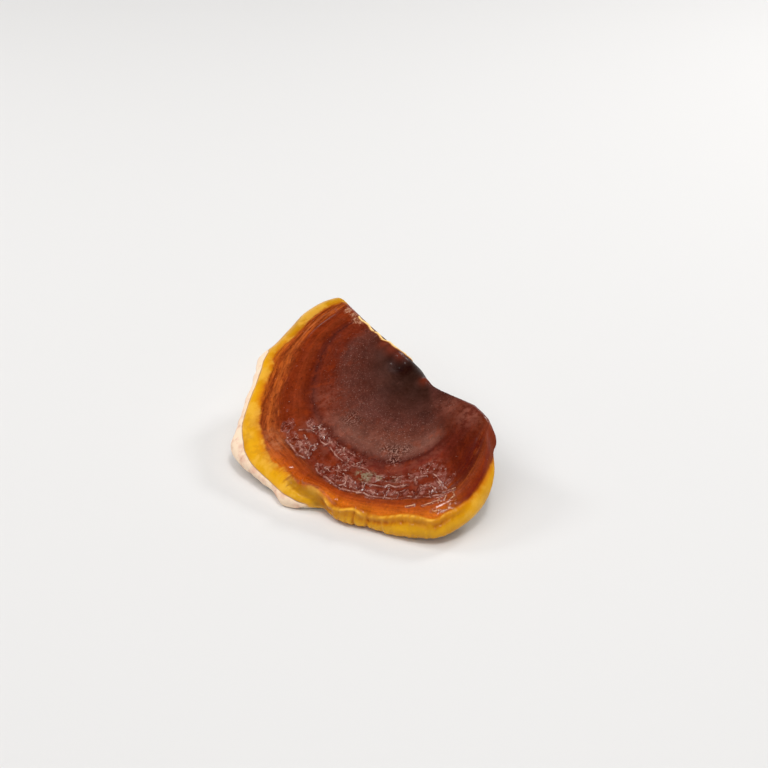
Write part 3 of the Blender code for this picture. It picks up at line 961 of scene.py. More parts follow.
def shared_marks(flat, growths, direction):
    """Marks that are the same above and below: the way out and round, and how far down the left side."""
    growth = growths + 0 * direction
    still = 0 * growth
    steps = np.linalg.norm(np.diff(flat[:, -1], axis=0), axis=1)
    return {
        "growth": growth,
        "along": np.concatenate(((0,), np.cumsum(steps)))[:, None] + still,
        "side": hump(side_distance(flat), SIDE_WIDTH),
        "lipped": smooth_step(through(WHITE_WIDTH, direction) / LIPPED_WIDTH) + still,
        "low": between(direction, *SWEEPS["low"]) + still,
        "high": between(direction, *SWEEPS["high"]) + still,
    }


def top_marks(flat, growths, direction, rim):
    """Marks that only the top has. They are 0 on the underside."""
    growth = growths + 0 * direction
    crust = [np.exp(-(((direction - place) / width) ** 2 + ((growth - start) / depth) ** 2) ** 1.5)
             for place, start, width, depth in CRUST_PATCHES]
    reach = away(flat, (0, 0))
    lip = LIP_PLACE + LIP_WAVE * np.sin(reach * LIP_WAVES)
    ridged = RIDGED_SHARE + (1 - RIDGED_SHARE) * between(direction, *SWEEPS["ridges"])
    return {
        "front": between(direction, *SWEEPS["front"]) + 0 * growth,
        "right": between(direction, *SWEEPS["right"]) + 0 * growth,
        "ridges": between(growth, *RIDGE_GROWTHS) * ridged,
        "annulus": between(growth, *ANNULUS_GROWTHS) * between(direction, *SWEEPS["annulus"]),
        "blotches": between(rim, *BLOTCH_RIMS) * between(direction, *SWEEPS["blotches"]),
        "fingers": between(rim, *FINGER_RIMS) * between(direction, *SWEEPS["fingers"]),
        "crust": np.max(crust, axis=0),
        "fold": closeness(flat, WRINKLES, FOLD_REACH),
        "lip": hump(away(flat, flat[:1]) - lip, LIP_WIDTH) * between(reach, *LIP_REACH),
        "bloom": np.clip((through(BLOOM_END, direction) - growth) / BLOOM_FADE + 0.5, 0, 1),
        "specks": patches(flat, SPECK_PATCHES),
        "smudge": patches(flat, SMUDGES),
        "torn": patches(flat, TORN_PATCHES),
        "glow": patches(flat, GLOWS),
        "hollow": patches(flat, SHADED_HOLLOWS),
        "pale": patches(flat, PALE_PATCHES),
        # Where the colour paints shade in the brim's valley and a highlight on its ridge.
        "valley": smooth_step(closeness(flat, BRIM_VALLEY, RIDGE_WIDTH) * 1.6 - 0.3),
        "ridge": smooth_step(closeness(flat, BRIM_RIDGE, RIDGE_CREST) * 1.5 - 0.2),
    }


def rim_marks(direction, rim):
    """Marks that follow the rim round from the top to the underside, for one of the two."""
    creases = sum(depth * hump(direction - place, width) for place, width, depth in BRIM_CREASES)
    return {
        "rim": rim,
        "yellow": through(YELLOW_WIDTH, direction) - rim,
        "white": through(WHITE_WIDTH, direction) - rim,
        "pleats": between(direction, *SWEEPS["pleats"]) + 0 * rim,
        "creases": creases + 0 * rim,
        "tip": between(direction, *SWEEPS["tip"]) * np.exp(-((rim / TIP_WIDTH) ** 4)),
    }


def cap_marks(flat, growths, direction, top, under):
    """What relief and finish need to know of each point: name, grid on the top, grid on the underside."""
    rims = length_in(top), length_in(under)
    marks = {name: (grid, grid) for name, grid in shared_marks(flat, growths, direction).items()}
    for name, grid in top_marks(flat, growths, direction, rims[0]).items():
        marks[name] = (grid, 0 * grid)
    above, below = (rim_marks(direction, rim) for rim in rims)
    marks.update({name: (above[name], below[name]) for name in above})

    edge = np.minimum(np.minimum(away(flat, flat[:, -1:]), away(flat, flat[:, :1])), side_distance(flat))
    band = through(UNDER_BAND, direction)
    hub = (growths - SKIN_GROWTH) * RADIAL_SPAN
    seat = away(flat, SEAT_CENTRE) - SEAT_RADIUS
    marks["pored"] = (-edge - band, np.minimum(np.minimum(edge - band, hub), seat - SKIN_REACH))
    marks["seat"] = (1 + 0 * edge, seat)
    return marks


def sheet_steps(growths, deep):
    """How many columns the cells of each row span. A cell is deep rows high."""
    middles = (growths[:-1:deep] + growths[deep::deep]) / 2
    return [deep * next(step for limit, step in COLUMN_STEPS if middle < limit) for middle in middles]


def sheet_corners(steps, columns, deep):
    """The places of the grid at which a sheet's cells have their corners."""
    corners = set()
    for k in range(len(steps) + 1):
        step = min(steps[max(k - 1, 0)], steps[min(k, len(steps) - 1)])
        corners.update((i, k * deep) for i in range(0, columns + 1, step))
    return corners


def sheet_cells(steps, columns, deep, numbers):
    """A sheet's faces. Each goes round its cell and takes in every numbered place on the way."""
    cells = []
    for k, step in enumerate(steps):
        low, high = k * deep, (k + 1) * deep
        for i in range(0, columns, step):
            walk = [(i, j) for j in range(low, high)]
            walk += [(c, high) for c in range(i, i + step)]
            walk += [(i + step, j) for j in range(high, low, -1)]
            walk += [(c, low) for c in range(i + step, i, -1)]
            cells.append([numbers[place] for place in walk if place in numbers])
    return cells


def cap_surface(growths, columns):
    """The places of the top's points, those of the underside's inner points, and the faces of both."""
    rows = len(growths) - 1
    steps = sheet_steps(growths, 1)
    above = {place: number for number, place in enumerate(sorted(sheet_corners(steps, columns, 1)))}
    faces = sheet_cells(steps, columns, 1, above)
    rim = {(i, j): number for (i, j), number in above.items() if i in (0, columns) or j in (0, rows)}
    steps = sheet_steps(growths, 2)
    inner = sorted(sheet_corners(steps, columns, 2) - set(rim))
    below = {**rim, **{place: len(above) + number for number, place in enumerate(inner)}}
    faces += [face[::-1] for face in sheet_cells(steps, columns, 2, below)]
    return tuple(np.array(list(above)).T), tuple(np.array(inner).T), faces


def cap_turn():
    """The tilt and heading of the cap's plane."""
    return Matrix.Rotation(math.radians(HEADING), 3, "Z") @ Matrix.Rotation(math.radians(TILT), 3, "X")


def cap_sheets(shares, growths):
    """The top and the underside as grids of points, with the plan and the directions that they come from."""
    flat = plan(shares, growths)
    direction = directions(MARGIN, shares)[:, None]
    wave = MARGIN_WAVE * np.sin(np.radians(direction) * MARGIN_WAVES) * growths
    rise = top_heights(flat, growths, direction) * edge_rolls(flat, BRIM_ROLL, BACK_ROLL, SIDE_ROLL)
    drop = under_depths(flat) * edge_rolls(flat, UNDER_BRIM_ROLL, UNDER_BACK_ROLL, UNDER_SIDE_ROLL)
    return flat, direction, np.dstack((flat, wave + rise)), np.dstack((flat, wave - drop))


def bare_cap():
    """The cap's smooth body in its place, with its marks, and the place of its hub."""
    shares, growths = cap_shares(), cap_growths()
    flat, direction, top, under = cap_sheets(shares, growths)
    above, inner, faces = cap_surface(growths, len(shares) - 1)
    points = np.vstack((top[above], under[inner])) @ np.array(cap_turn()).T
    low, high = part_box("cap")
    hub = np.array((low + high) / 2) - (points.min(0) + points.max(0)) / 2
    hub[2] = low.z - points[:, 2].min() - FLOOR_PRESS
    marks = cap_marks(flat, growths, direction, top, under)
    marks = {name: np.concatenate((grids[0][above], grids[1][inner])) for name, grids in marks.items()}
    return mesh_piece("lacquered_cap", points + hub, faces, marks), Vector(hub)


def crust_net(tree, spread):
    """The wrinkled crust: its glaze, its veins and wrinkles with a given spread, and the hollows beside."""
    radial, along, fold = tree.mark("growth") * RADIAL_SPAN, tree.mark("along"), tree.mark("fold")
    drift = tree.noise(tree.vector(radial, along, CRUST_LAYER), CRUST_DRIFT_SIZE, output="Color")
    skin = tree.vector(radial, along * CRUST_STRETCH)
    folded = tree.combine("ADD", skin, tree.scale(drift, CRUST_DRIFT))
    cover = highest(tree.mark("crust"), fold.climb(0.45, 1.0) * 0.60)
    glaze = (cover - 0.36 + tree.grain("crust edges", folded) * 1.5).climb(-0.16, 0.22)
    level = tree.grain("veins", folded)
    gap = (1 - fold) * FOLD_REACH + tree.grain("wrinkle sway", folded) * 0.0012
    near = fold.climb(0.55, 0.75)
    broken = tree.grain("line breaks", folded)
    veins = glaze * level.line(VEIN_WIDTH * spread) * (1.15 - broken * 0.8)
    wrinkle = near * gap.line(WRINKLE_WIDTH * spread) * broken
    beside = near * (gap - 0.0008).line(0.00050) * (1 - broken * 0.6)
    # The colour darkens these hollows beside the veins and wrinkles as painted shadow.
    hollow = highest(glaze * (level - 0.075).line(0.045), beside)
    return glaze, veins, wrinkle, hollow


def hub_lip(tree):
    """The pale lip on the left of the hub, broken here and there."""
    return tree.mark("lip") * tree.grain("lip breaks")


def skin_relief(tree, put):
    """Bands, streaks and lumps of the lacquer, and the amber ridges inside the yellow."""
    lacquer = 1 - tree.mark("pored").climb(-0.0004, 0.0008)
    lacquer = lacquer * (1 - tree.mark("white").climb(-0.0006, 0.0004))
    hard = 1 - tree.mark("yellow").climb(-0.001, 0.002) * 0.7
    outer = tree.mark("growth").climb(0.25, 0.70)
    height = tree.grain("relief bands") * put["Band Height"] + tree.grain("lumps") * put["Lump Height"]
    height = height + tree.grain("relief streaks") * outer * put["Streak Height"]
    turns = (tree.mark("growth") + tree.grain("ridge sway") * RIDGE_SWAY) / put["Ridge Spacing"]
    ridges = tree.mark("ridges") * maths("SINE", turns * math.tau) * put["Ridge Height"]
    return lacquer * (hard * height + ridges)


def crust_relief(tree, put):
    """The crust's raised lines and the hollows beside them."""
    glaze, veins, wrinkle, hollow = crust_net(tree, RELIEF_SPREAD)
    net = veins * 0.8 + (glaze - hollow) * 0.3
    return net * put["Crust Height"] + wrinkle * put["Wrinkle Height"]


def brim_relief(tree, put):
    """The rolled front brim: folds and creases, the knobbed crest, the trough below it, and the fingers."""
    yellow, pleats = tree.mark("yellow"), tree.mark("pleats")
    band = yellow.climb(-0.0010, 0.0016)
    knobs, swell = tree.grain("knobs"), tree.grain("swell")
    fold = abs(tree.grain("pleats")).climb(0.0, 0.14) - 0.8
    crest = (yellow - CREST_PLACE).line(CREST_WIDTH) * (0.3 + knobs * 0.7)
    trough = (yellow - TROUGH_PLACE).line(CREST_WIDTH) * (1.1 - knobs) * 0.7
    height = pleats * band * (fold * put["Fold Height"] + (1 + swell * 2.8) * put["Roll Height"])
    height = height - tree.mark("creases") * band * (0.6 + swell * 2.0) * put["Pleat Depth"]
    height = height + pleats * (crest - trough) * put["Crest Height"]
    return height + tree.mark("fingers") * tree.grain("fingers") * put["Finger Height"]


def lip_relief(tree, put):
    """The waved white lip with the crease beside it, and the pale lip at the hub."""
    white = tree.mark("white")
    swell = white.climb(0.0002, 0.0026) * put["Lip Height"]
    wave = white.climb(0.0, 0.001) * tree.grain("lip wave") * put["Wave Height"]
    crease = (white - CREASE_PLACE).line(0.00075) * put["Crease Depth"]
    return tree.mark("lipped") * (swell + wave - crease) + hub_lip(tree) * put["Edge Height"]


def relief_tree(inputs):
    """The cap's fine relief."""
    tree, put = geometry_tree("cap relief", inputs)
    rough = tree.mark("torn") * put["Tear Height"] + tree.mark("specks") * put["Speck Height"]
    height = skin_relief(tree, put) + crust_relief(tree, put)
    height = height + brim_relief(tree, put) + lip_relief(tree, put)
    close_relief(tree, put, height + rough * tree.grain("tears"))
    return tree


def zone_colour(tree):
    """The brown zones with their bands, streaks, nicks, embers and motes, and the amber ridges' threads."""
    growth, front, right = tree.mark("growth"), tree.mark("front"), tree.mark("right")
    outer = growth.climb(0.20, 0.65)
    zone = growth + tree.grain("wander") * outer * 0.026 + tree.grain("zone edges") * 0.014
    colour = tree.mix(front, tree.ramp(zone, LEFT_ZONES), tree.ramp(zone, FRONT_ZONES))
    colour = tree.mix(right, colour, tree.ramp(zone, RIGHT_ZONES))
    uneven = tree.grain("bands") * 0.66 + tree.grain("streaks") * outer * 0.40
    colour = tree.scale(colour, 1 + uneven + (tree.grain("mottle") + tree.grain("grit")) * 0.80)
    threads, ridges = tree.grain("threads"), tree.mark("ridges")
    return tree.paint(
        colour,
        nicks=tree.grain("nicks") * outer * (1 - front * 0.64),
        embers=tree.grain("embers") * outer * (1 - right * 0.6),
        motes=tree.grain("motes") * growth.climb(0.15, 0.30),
        ridge_shade=ridges * threads.climb(0.02, 0.12),
        ridge_light=ridges * threads.climb(-0.04, -0.14),
    )


def add_bloom(tree, colour, looks):
    """A colour with the dull bloom round the hub over it, and how far that bloom covers."""
    growth, haze = tree.mark("growth"), tree.grain("haze")
    bloom = (tree.mark("bloom") + haze * 0.6).climb(0.05, 0.95)
    colour = tree.mix(bloom * haze.climb(*HAZE_LIMITS) * 0.12, colour, looks.bloom_colour)
    chalk = tree.paint(looks.chalk_colour, amber_chalk=growth.climb(0.70, 0.82))
    colour = tree.mix(tree.mark("pale") * (0.12 + tree.grain("chalk") * 0.46), colour, chalk)
    dust = tree.mark("bloom") * tree.grain("dust") * growth.climb(0.18, 0.40)
    # Besides the dust and the glows, painted shade darkens the hollow beside the hub to near black.
    return tree.paint(colour, dust=dust, glow=tree.mark("glow"), hollow=tree.mark("hollow")), bloom


def add_crust(tree, colour, looks):
    """A colour with the milky, wrinkled crust over it, and how far the crust's lines show."""
    glaze, veins, wrinkle, hollow = crust_net(tree, 1.0)
    amber = tree.mark("growth").climb(0.82, 0.87)
    milk, glints = tree.grain("milk"), tree.grain("glints")
    colour = tree.paint(
        colour,
        annulus=tree.mark("annulus") * milk,
        glaze=glaze * (0.10 + milk * 0.70),
        glaze_shade=glaze * (1 - milk),
        # Painted shadow in the hollows beside the raised lines.
        crust_hollow=hollow * (1 - amber),
    )
    # The lines' tone is their own pale colour with painted highlight in it: white painted glints, partly
    # whitish dust, and peach painted highlights on the wrinkles of the amber zone.
    tone = tree.paint(looks.crust_line_and_glint_colour, glint=glints, amber_line=amber)
    lines = highest(veins * 0.60, wrinkle, glaze * glints * 0.7)
    return tree.mix(lines * (0.66 + amber * 0.20), colour, tone), lines


def add_spots(tree, colour):
    """A colour with the smudge, the specks and the torn skin over it."""
    specks, flecks = tree.mark("specks"), tree.grain("flecks")
    torn = tree.mark("torn") + tree.grain("grit") * 1.6
    return tree.paint(
        colour,
        smudge=tree.mark("smudge").climb(0.10, 0.80) * tree.grain("moss"),
        dark_specks=specks * flecks.climb(0.02, 0.08),
        pale_specks=specks * flecks.climb(-0.03, -0.09),
        torn=torn.climb(0.30, 0.60),
        torn_edge=(torn - 0.75).line(0.14),
    )


def under_sheen(tree, colour, bloom):
    """A colour with what the gloss will add to it taken off."""
    sheen = (1 + bloom * 0.4) * SHEEN
    bare = tree.combine("SUBTRACT", tree.scale(colour, 1 - bloom * 0.20), tree.vector(sheen, sheen, sheen))
    return tree.combine("MAXIMUM", bare, (0.0, 0.0, 0.0))


def add_yellow(tree, colour):
    """A colour with the yellow band outside it."""
    yellow, pleats, fingers = tree.mark("yellow"), tree.mark("pleats"), tree.grain("fingers")
    gold = yellow + tree.grain("ragged") * (1 - tree.mark("front") * 0.5) * 0.0030
    gold = gold + tree.mark("fingers") * fingers * 0.0050
    tone = tree.ramp(gold / YELLOW_RUN, YELLOW_TONES)
    tone = tree.scale(tone, 0.96 - pleats * 0.05 + tree.grain("gold streaks") * 0.32)
    # Painted shade: the yellow is darker high on the far side, where the rim curves away.
    tone = tree.scale(tone, 1 - tree.mark("high") * 0.28)
    haze, knobs = tree.grain("haze").climb(*HAZE_LIMITS), tree.grain("knobs")
    pleat = abs(tree.grain("pleats")).climb(0.09, 0.0)
    trough = (yellow - TROUGH_PLACE).line(0.0028) * (1.15 - knobs * 0.6)
    tone = tree.paint(
        tone,
        lemon=tree.grain("lemon") * (1 - pleats * 0.7),
        # Painted shade in the valley beside the brim's ridge, and a painted highlight on the ridge.
        valley=tree.mark("valley") * (0.60 + haze * 0.20),
        ridge=tree.mark("ridge"),
        fingers=tree.mark("fingers") * fingers.climb(0.0, -0.12),
        blotches=tree.mark("blotches") * tree.grain("blotches"),
        # Painted shade in the front brim's pleats, creases and trough, and a painted highlight along its
        # knobbed crest.
        creases=pleats * highest(pleat * 0.10, tree.mark("creases") * 0.80, trough * 0.80),
        crest=pleats * (yellow - 0.0010).line(0.0012) * knobs,
        olive=tree.grain("olive"),
    )
    return tree.mix(gold.climb(-0.0009, 0.0007), colour, tone)


def add_pores(tree, colour):
    """A colour with the cream, pored underside beside it, and the pores."""
    pores = tree.cells(tree.place(), PORE_SIZE)
    below = tree.ramp(tree.mark("seat") / UNDER_RUN, UNDER_TONES)
    below = tree.paint(below, pores=pores.climb(0.45, 0.20))
    below = tree.scale(below, 1 + tree.grain("under rings") * 0.20)
    return tree.mix(tree.mark("pored").climb(-0.0003, 0.0006), colour, below), pores


def add_lips(tree, colour, looks):
    """A colour with the white lip and the pale lip at the hub over it, and how far the white one covers."""
    white, lipped, blush = tree.mark("white"), tree.mark("lipped"), tree.grain("blush")
    blushing = blush * (0.20 + tree.mark("low") * 0.60)
    pale = tree.paint(looks.white_colour, blush=blushing, pits=tree.grain("pits") * blush)
    cover = lipped * white.climb(-0.0002, 0.0003)
    edge = hub_lip(tree)
    colour = tree.paint(
        tree.mix(cover, colour, pale),
        # Painted shade: a thin dark line in the crease between the yellow and the white lip.
        seam=lipped * (white - CREASE_PLACE).line(0.0004),
        lip_shade=edge.climb(0.08, 0.40),
        lip_light=edge.climb(0.35, 0.75),
    )
    return colour, cover


def cap_material(looks):
    """Lacquer over brown zones, dull bloom at the hub, matt yellow and white at the rim, and pores below."""
    material, tree, shader = new_material("cap_lacquer")
    colour, bloom = add_bloom(tree, zone_colour(tree), looks)
    colour, lines = add_crust(tree, colour, looks)
    colour = under_sheen(tree, add_spots(tree, colour), bloom)
    colour = add_yellow(tree, tree.paint(colour, tip=tree.mark("tip")))
    colour, pores = add_pores(tree, colour)
    colour, lip = add_lips(tree, colour, looks)

    pored = tree.mark("pored").climb(-0.0003, 0.0006)
    gold = tree.mark("yellow").climb(-0.0020, 0.0020)
    hollow = tree.mark("hollow")
    dull = highest(pored, lip)
    side = highest(tree.mark("side"), tree.mark("tip"))
    rough = looks.lacquer_roughness + tree.grain("cap wear") * 0.20 + bloom * 0.24 + gold * 0.12
    rough = rough + tree.mark("ridges") * 0.12 - lines * 0.10 + side * 0.75 + hollow * 0.25
    coat = (1 - dull) * (1 - side) * (0.62 - bloom * 0.50) * (1 - gold * 0.88) * (1 - hollow * 0.8)
    height = (tree.grain("cap skin") + 0.5) * (0.00004 + bloom * 0.00003)
    height = height + pored * pores * 0.00012 + lines * 0.00012
    dress(shader, {
        "Base Color": colour,
        "Roughness": rough + (0.78 - rough) * dull,
        "Coat Weight": coat,
        "Coat Roughness": 0.15,
        "Specular IOR Level": 0.16,
        "Normal": tree.bump(height),
    })
    return material


def bend_point(head, middle, foot, share):
    """A point on the stem's bent middle line, which runs on past its head where the share is below 0."""
    return head * (1 - share) ** 2 + middle * 2 * share * (1 - share) + foot * share ** 2


def stem_reach(angle, share, length):
    """How far the stem's skin is from its middle line, at an angle round it and a share of its length."""
    reach = through(STEM_WIDTHS, share) + STEM_FLARE * smooth_step(share / STEM_TOP)
    flute = STEM_FLUTE * math.sin(math.pi * max(share, 0))
    reach = reach + flute * np.sin(STEM_FLUTES * angle + STEM_TWIST * share)
    for knot_angle, knot_share, spread, height in STEM_KNOTS:
        turn = (angle - math.radians(knot_angle) + math.pi) % math.tau - math.pi
        down = length * (share - knot_share)
        reach = reach + height * np.exp(-((reach * turn) ** 2 + down ** 2) / spread ** 2)
    return reach


def ring_faces(rings, sides):
    """Faces between rings of points, with a fan at both ends round the two points that come after them."""
    faces = []
    tip = rings * sides
    for side in range(sides):
        beside = (side + 1) % sides
        for low in range(0, tip - sides, sides):
            faces.append((low + side, low + sides + side, low + sides + beside, low + beside))
        faces.append((side, beside, tip))
        faces.append((tip - sides + beside, tip - sides + side, tip + 1))
    return faces


def bare_stem(hub):
    """The stem's stump from inside the cap down to its cut, marked with the way in from the cut's edge."""
    head = cap_turn() @ Vector((*SEAT_CENTRE, -SEAT_DEPTH)) + hub
    foot = Vector((head.x + STEM_LEAN[0], head.y + STEM_LEAN[1], 0))
    head_turn = cap_turn().to_quaternion()
    foot_turn = Matrix.Rotation(math.radians(HEADING), 3, "Z").to_quaternion()
    middle = head + head_turn @ Vector((0, 0, -head.z / 2))
    angle = np.linspace(0, math.tau, STEM_SIDES, endpoint=False)
    rings, inward = [], []
    for share in np.linspace(STEM_TOP, 1, STEM_ROWS + 1):
        turn = np.array(head_turn.slerp(foot_turn, max(share, 0)).to_matrix())
        reach = stem_reach(angle, share, (foot - head).length)
        across = np.stack((reach * np.cos(angle), reach * STEM_FLATNESS * np.sin(angle), 0 * angle), axis=1)
        rings.append(across @ turn.T + np.array(bend_point(head, middle, foot, share)))
        inward.append(np.zeros(STEM_SIDES))
    skin, centre = rings[-1], np.array(foot)
    for k in range(1, CUT_RINGS):
        rings.append(skin + (centre - skin) * k / CUT_RINGS)
        inward.append(np.linalg.norm(rings[-1] - skin, axis=1))
    points = np.vstack((*rings, rings[0].mean(0), centre))
    inward = np.concatenate((*inward, (0, np.linalg.norm(centre - skin, axis=1).mean())))
    return mesh_piece("lacquered_stem", points, ring_faces(len(rings), STEM_SIDES), {"inward": inward})


def furrow_tree(inputs):
    """The stem's furrows, which run down it, and the rings round it. Its cut stays flat."""
    tree, put = geometry_tree("stem relief", inputs)
    height = tree.grain("furrows") * put["Furrow Height"] + tree.grain("stem rings") * put["Ring Height"]
    close_relief(tree, put, (1 - tree.mark("inward").climb(0.0, 0.0006)) * height)
    return tree


def stem_material(looks):
    """Near-black lacquer on the skin, and fibrous tan flesh on the cut."""
    material, tree, shader = new_material("stem_lacquer")
    inward, worn, fibres = tree.mark("inward"), tree.grain("stem wear"), tree.grain("fibres")
    cut = inward.climb(0.0003, 0.0008)
    skin = tree.paint(looks.skin_colour, rust=worn.climb(-0.06, 0.24))
    rim = inward.climb(0.0022, 0.0006)
    flesh = tree.paint(looks.cut_colour, fibres=fibres.climb(-0.15, 0.15), cut_rim=rim)
    height = tree.grain("stem skin") * 0.00006 + cut * (fibres + 0.5) * 0.00025
    dress(shader, {
        "Base Color": tree.mix(cut, skin, flesh),
        "Roughness": 0.30 + worn * 0.18 + cut * 0.5,
        "Coat Weight": (1 - cut) * 0.45,
        "Coat Roughness": 0.14,
        "Normal": tree.bump(height),
    })
    return material


def dust_tree(inputs):
    """Grains scattered over the dull bloom."""
    tree, put = geometry_tree("dust grains", inputs)
    thick = tree.mark("bloom") * tree.mark("growth").climb(0.16, 0.44)
    spread = {"Mesh": put["Geometry"], "Density": thick * put["Density"], "Seed": put["Seed"]}
    spots = tree.node("GeometryNodeDistributePointsOnFaces", None, spread)
    ends = {2: 0.5, 3: 1.0, "Seed": put["Seed"]}
    size = tree.node("FunctionNodeRandomValue", {"data_type": "FLOAT"}, ends, 1)
    grain = tree.node("GeometryNodeMeshIcoSphere", None, {"Radius": put["Grain Radius"], "Subdivisions": 1})
    placed = {"Points": spots, "Instance": grain, "Scale": tree.vector(size, size, size * 0.7)}
    close_tree(tree, tree.node("GeometryNodeInstanceOnPoints", None, placed), put["Material"])
    return tree


def dust_material(looks):
    """Pale, dry spore dust."""
    material, tree, shader = new_material("spore_dust")
    colour = tree.paint(looks.dust_colour, dust_shade=tree.grain("dust shade"))
    dress(shader, {"Base Color": colour, "Roughness": 0.85})
    return material


def size_property(name, description, default, precision=5):
    """A length that a user can change."""
    return FloatProperty(
        name=name, description=description, default=default, unit="LENGTH", precision=precision
    )


def colour_property(name, description, *channels):
    """A colour that a user can change, its default as a screen shows it."""
    return FloatVectorProperty(
        name=name, description=description, default=screen(*channels), subtype="COLOR"
    )


class ReishiCapLooks(bpy.types.PropertyGroup):
    """Sizes and colours of the cap."""

    band_height: size_property("Band height", "Height of the fine growth bands", 0.00014)
    streak_height: size_property("Streak height", "Height of the fine radial streaks", 0.00008)
    lump_height: size_property("Lump height", "Height of the small lumps", 0.00026)
    ridge_height: size_property("Ridge height", "Height of the amber ridges inside the yellow", 0.00006)
    ridge_spacing: FloatProperty(
        name="Ridge spacing", description="Growth from one ridge to the next", default=0.0250, precision=4
    )
    crust_height: size_property("Crust height", "Height of the wrinkled crust's lines", 0.00034)
    wrinkle_height: size_property("Wrinkle height", "Height of the lone wrinkles", 0.00040)
    pleat_depth: size_property("Pleat depth", "Depth of the creases across the front brim", 0.00110)
    fold_height: size_property("Fold height", "Height of the low folds between those creases", 0.00036)
    roll_height: size_property("Roll height", "How far the front brim swells out", 0.00050)
    crest_height: size_property("Crest height", "Height of the knobbed crest along the front brim", 0.00120)
    finger_height: size_property("Finger height", "Height of the fingers of the yellow's edge", 0.0022)
    crease_depth: size_property("Crease depth", "Depth of the crease between yellow and white", 0.00034)
    lip_height: size_property("Lip height", "How far the white lip swells out", 0.00030)
    wave_height: size_property("Wave height", "Height of the white lip's waves", 0.0028)
    edge_height: size_property("Edge height", "Height of the pale lip on the left of the hub", 0.00090)
    tear_height: size_property("Tear height", "How rough the torn skin is", 0.0016)
    speck_height: size_property("Speck height", "How rough the specks are", 0.0009)
    lacquer_roughness: FloatProperty(
        name="Lacquer roughness", description="Roughness of the bare lacquer", default=0.22, subtype="FACTOR"
    )
    white_colour: colour_property("White", "Colour of the growing lip", 246, 220, 192)
    bloom_colour: colour_property("Bloom", "Colour of the dull bloom round the hub", 116, 76, 70)
    chalk_colour: colour_property("Chalk", "Colour of the pale patches", 150, 90, 74)
    # Pale raised lines, partly painted highlight.
    crust_line_and_glint_colour: colour_property("Crust", "Colour of the crust's raised lines", 208, 164, 146)


class ReishiStemLooks(bpy.types.PropertyGroup):
    """Sizes and colours of the stem."""

    furrow_height: size_property("Furrow height", "Height of the furrows down the stem", 0.00090)
    ring_height: size_property("Ring height", "Height of the rings round the stem", 0.00040)
    skin_colour: colour_property("Skin", "Colour of the stem's lacquer", 46, 26, 23)
    cut_colour: colour_property("Cut", "Colour of the flesh where the stem is cut", 140, 98, 64)


class ReishiDustLooks(bpy.types.PropertyGroup):
    """Amount and colour of the dust."""

    density: FloatProperty(
        name="Density", description="Grains on a square metre of bloom", default=260000.0, precision=0
    )
    grain_radius: size_property("Grain radius", "Radius of the largest grain", 0.00013)
    seed: IntProperty(name="Seed", description="Seed of the grains' places", default=7)
    dust_colour: colour_property("Dust", "Colour of the grains", 178, 140, 126)


class ReishiStageLooks(bpy.types.PropertyGroup):
    """Camera, light and floor."""

    camera_distance: size_property("Camera distance", "From the camera to its aim", 0.833, 3)
    camera_elevation: FloatProperty(
        name="Camera elevation", description="Angle of the camera above the floor",
        default=math.radians(31.0), subtype="ANGLE",
    )
    lens: FloatProperty(name="Lens", description="Focal length in millimetres", default=75.0)
    aim: FloatVectorProperty(
        name="Aim", description="Point that the camera looks at", default=(0.01077, 0.0355, 0.0200),
        unit="LENGTH", precision=4,
    )
    fill_power: FloatProperty(name="Fill power", description="Strength of the overhead light", default=1.75)
    key_power: FloatProperty(
        name="Key power", description="Power of the light on the left", default=4.0, unit="POWER"
    )
    glint_power: FloatProperty(
        name="Glint power", description="Power of each small light", default=4.2, unit="POWER"
    )
    floor_radius: size_property("Floor radius", "Radius of the floor", 6.0, 2)
    floor_colour: FloatVectorProperty(
        name="Floor", description="Colour of the floor", default=(0.76, 0.75, 0.74), subtype="COLOR"
    )


class REISHI_OT_make_cap(bpy.types.Operator):
    """Build the lacquered cap, with its pored underside"""

    bl_idname = "reishi.make_cap"
    bl_label = "Make Cap"

    def execute(self, context):
        looks = context.scene.reishi_cap
        inputs = tree_inputs(looks, CAP_SIZES)
        cap, hub = bare_cap()
        run_tree(cap, relief_tree(inputs), inputs, cap_material(looks))
        context.scene["reishi_hub"] = hub
        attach(cap, "root")
        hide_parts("cap")
        return {"FINISHED"}


class REISHI_OT_make_stem(bpy.types.Operator):
    """Build the stump of the stem, from the cap down to its cut"""

    bl_idname = "reishi.make_stem"
    bl_label = "Make Stem"

    def execute(self, context):
        looks = context.scene.reishi_stem
        inputs = tree_inputs(looks, STEM_SIZES)
        stem = bare_stem(Vector(context.scene["reishi_hub"]))
        run_tree(stem, furrow_tree(inputs), inputs, stem_material(looks))
        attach(stem, "root")
        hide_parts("stem")
        return {"FINISHED"}


class REISHI_OT_scatter_dust(bpy.types.Operator):
    """Scatter grains of spore dust over the cap's bloom"""

    bl_idname = "reishi.scatter_dust"
    bl_label = "Scatter Dust"

    def execute(self, context):
        looks = context.scene.reishi_dust
        inputs = tree_inputs(looks, DUST_SIZES)
        dust = bpy.data.objects.new("dust_grains", bpy.data.objects["lacquered_cap"].data.copy())
        context.scene.collection.objects.link(dust)
        run_tree(dust, dust_tree(inputs), inputs, dust_material(looks))
        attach(dust, "root")
        return {"FINISHED"}


def plain_floor(radius, colour):
    """A wide, matt, pale disc."""
    bpy.ops.mesh.primitive_circle_add(vertices=FLOOR_SIDES, radius=radius, fill_type="NGON")
    floor = bpy.context.object
    floor.name = "floor"
    material, _, shader = new_material("pale_floor")
    dress(shader, {"Base Color": colour, "Roughness": 0.9, "Specular IOR Level": 0.1})
    floor.data.materials.append(material)
    return floor


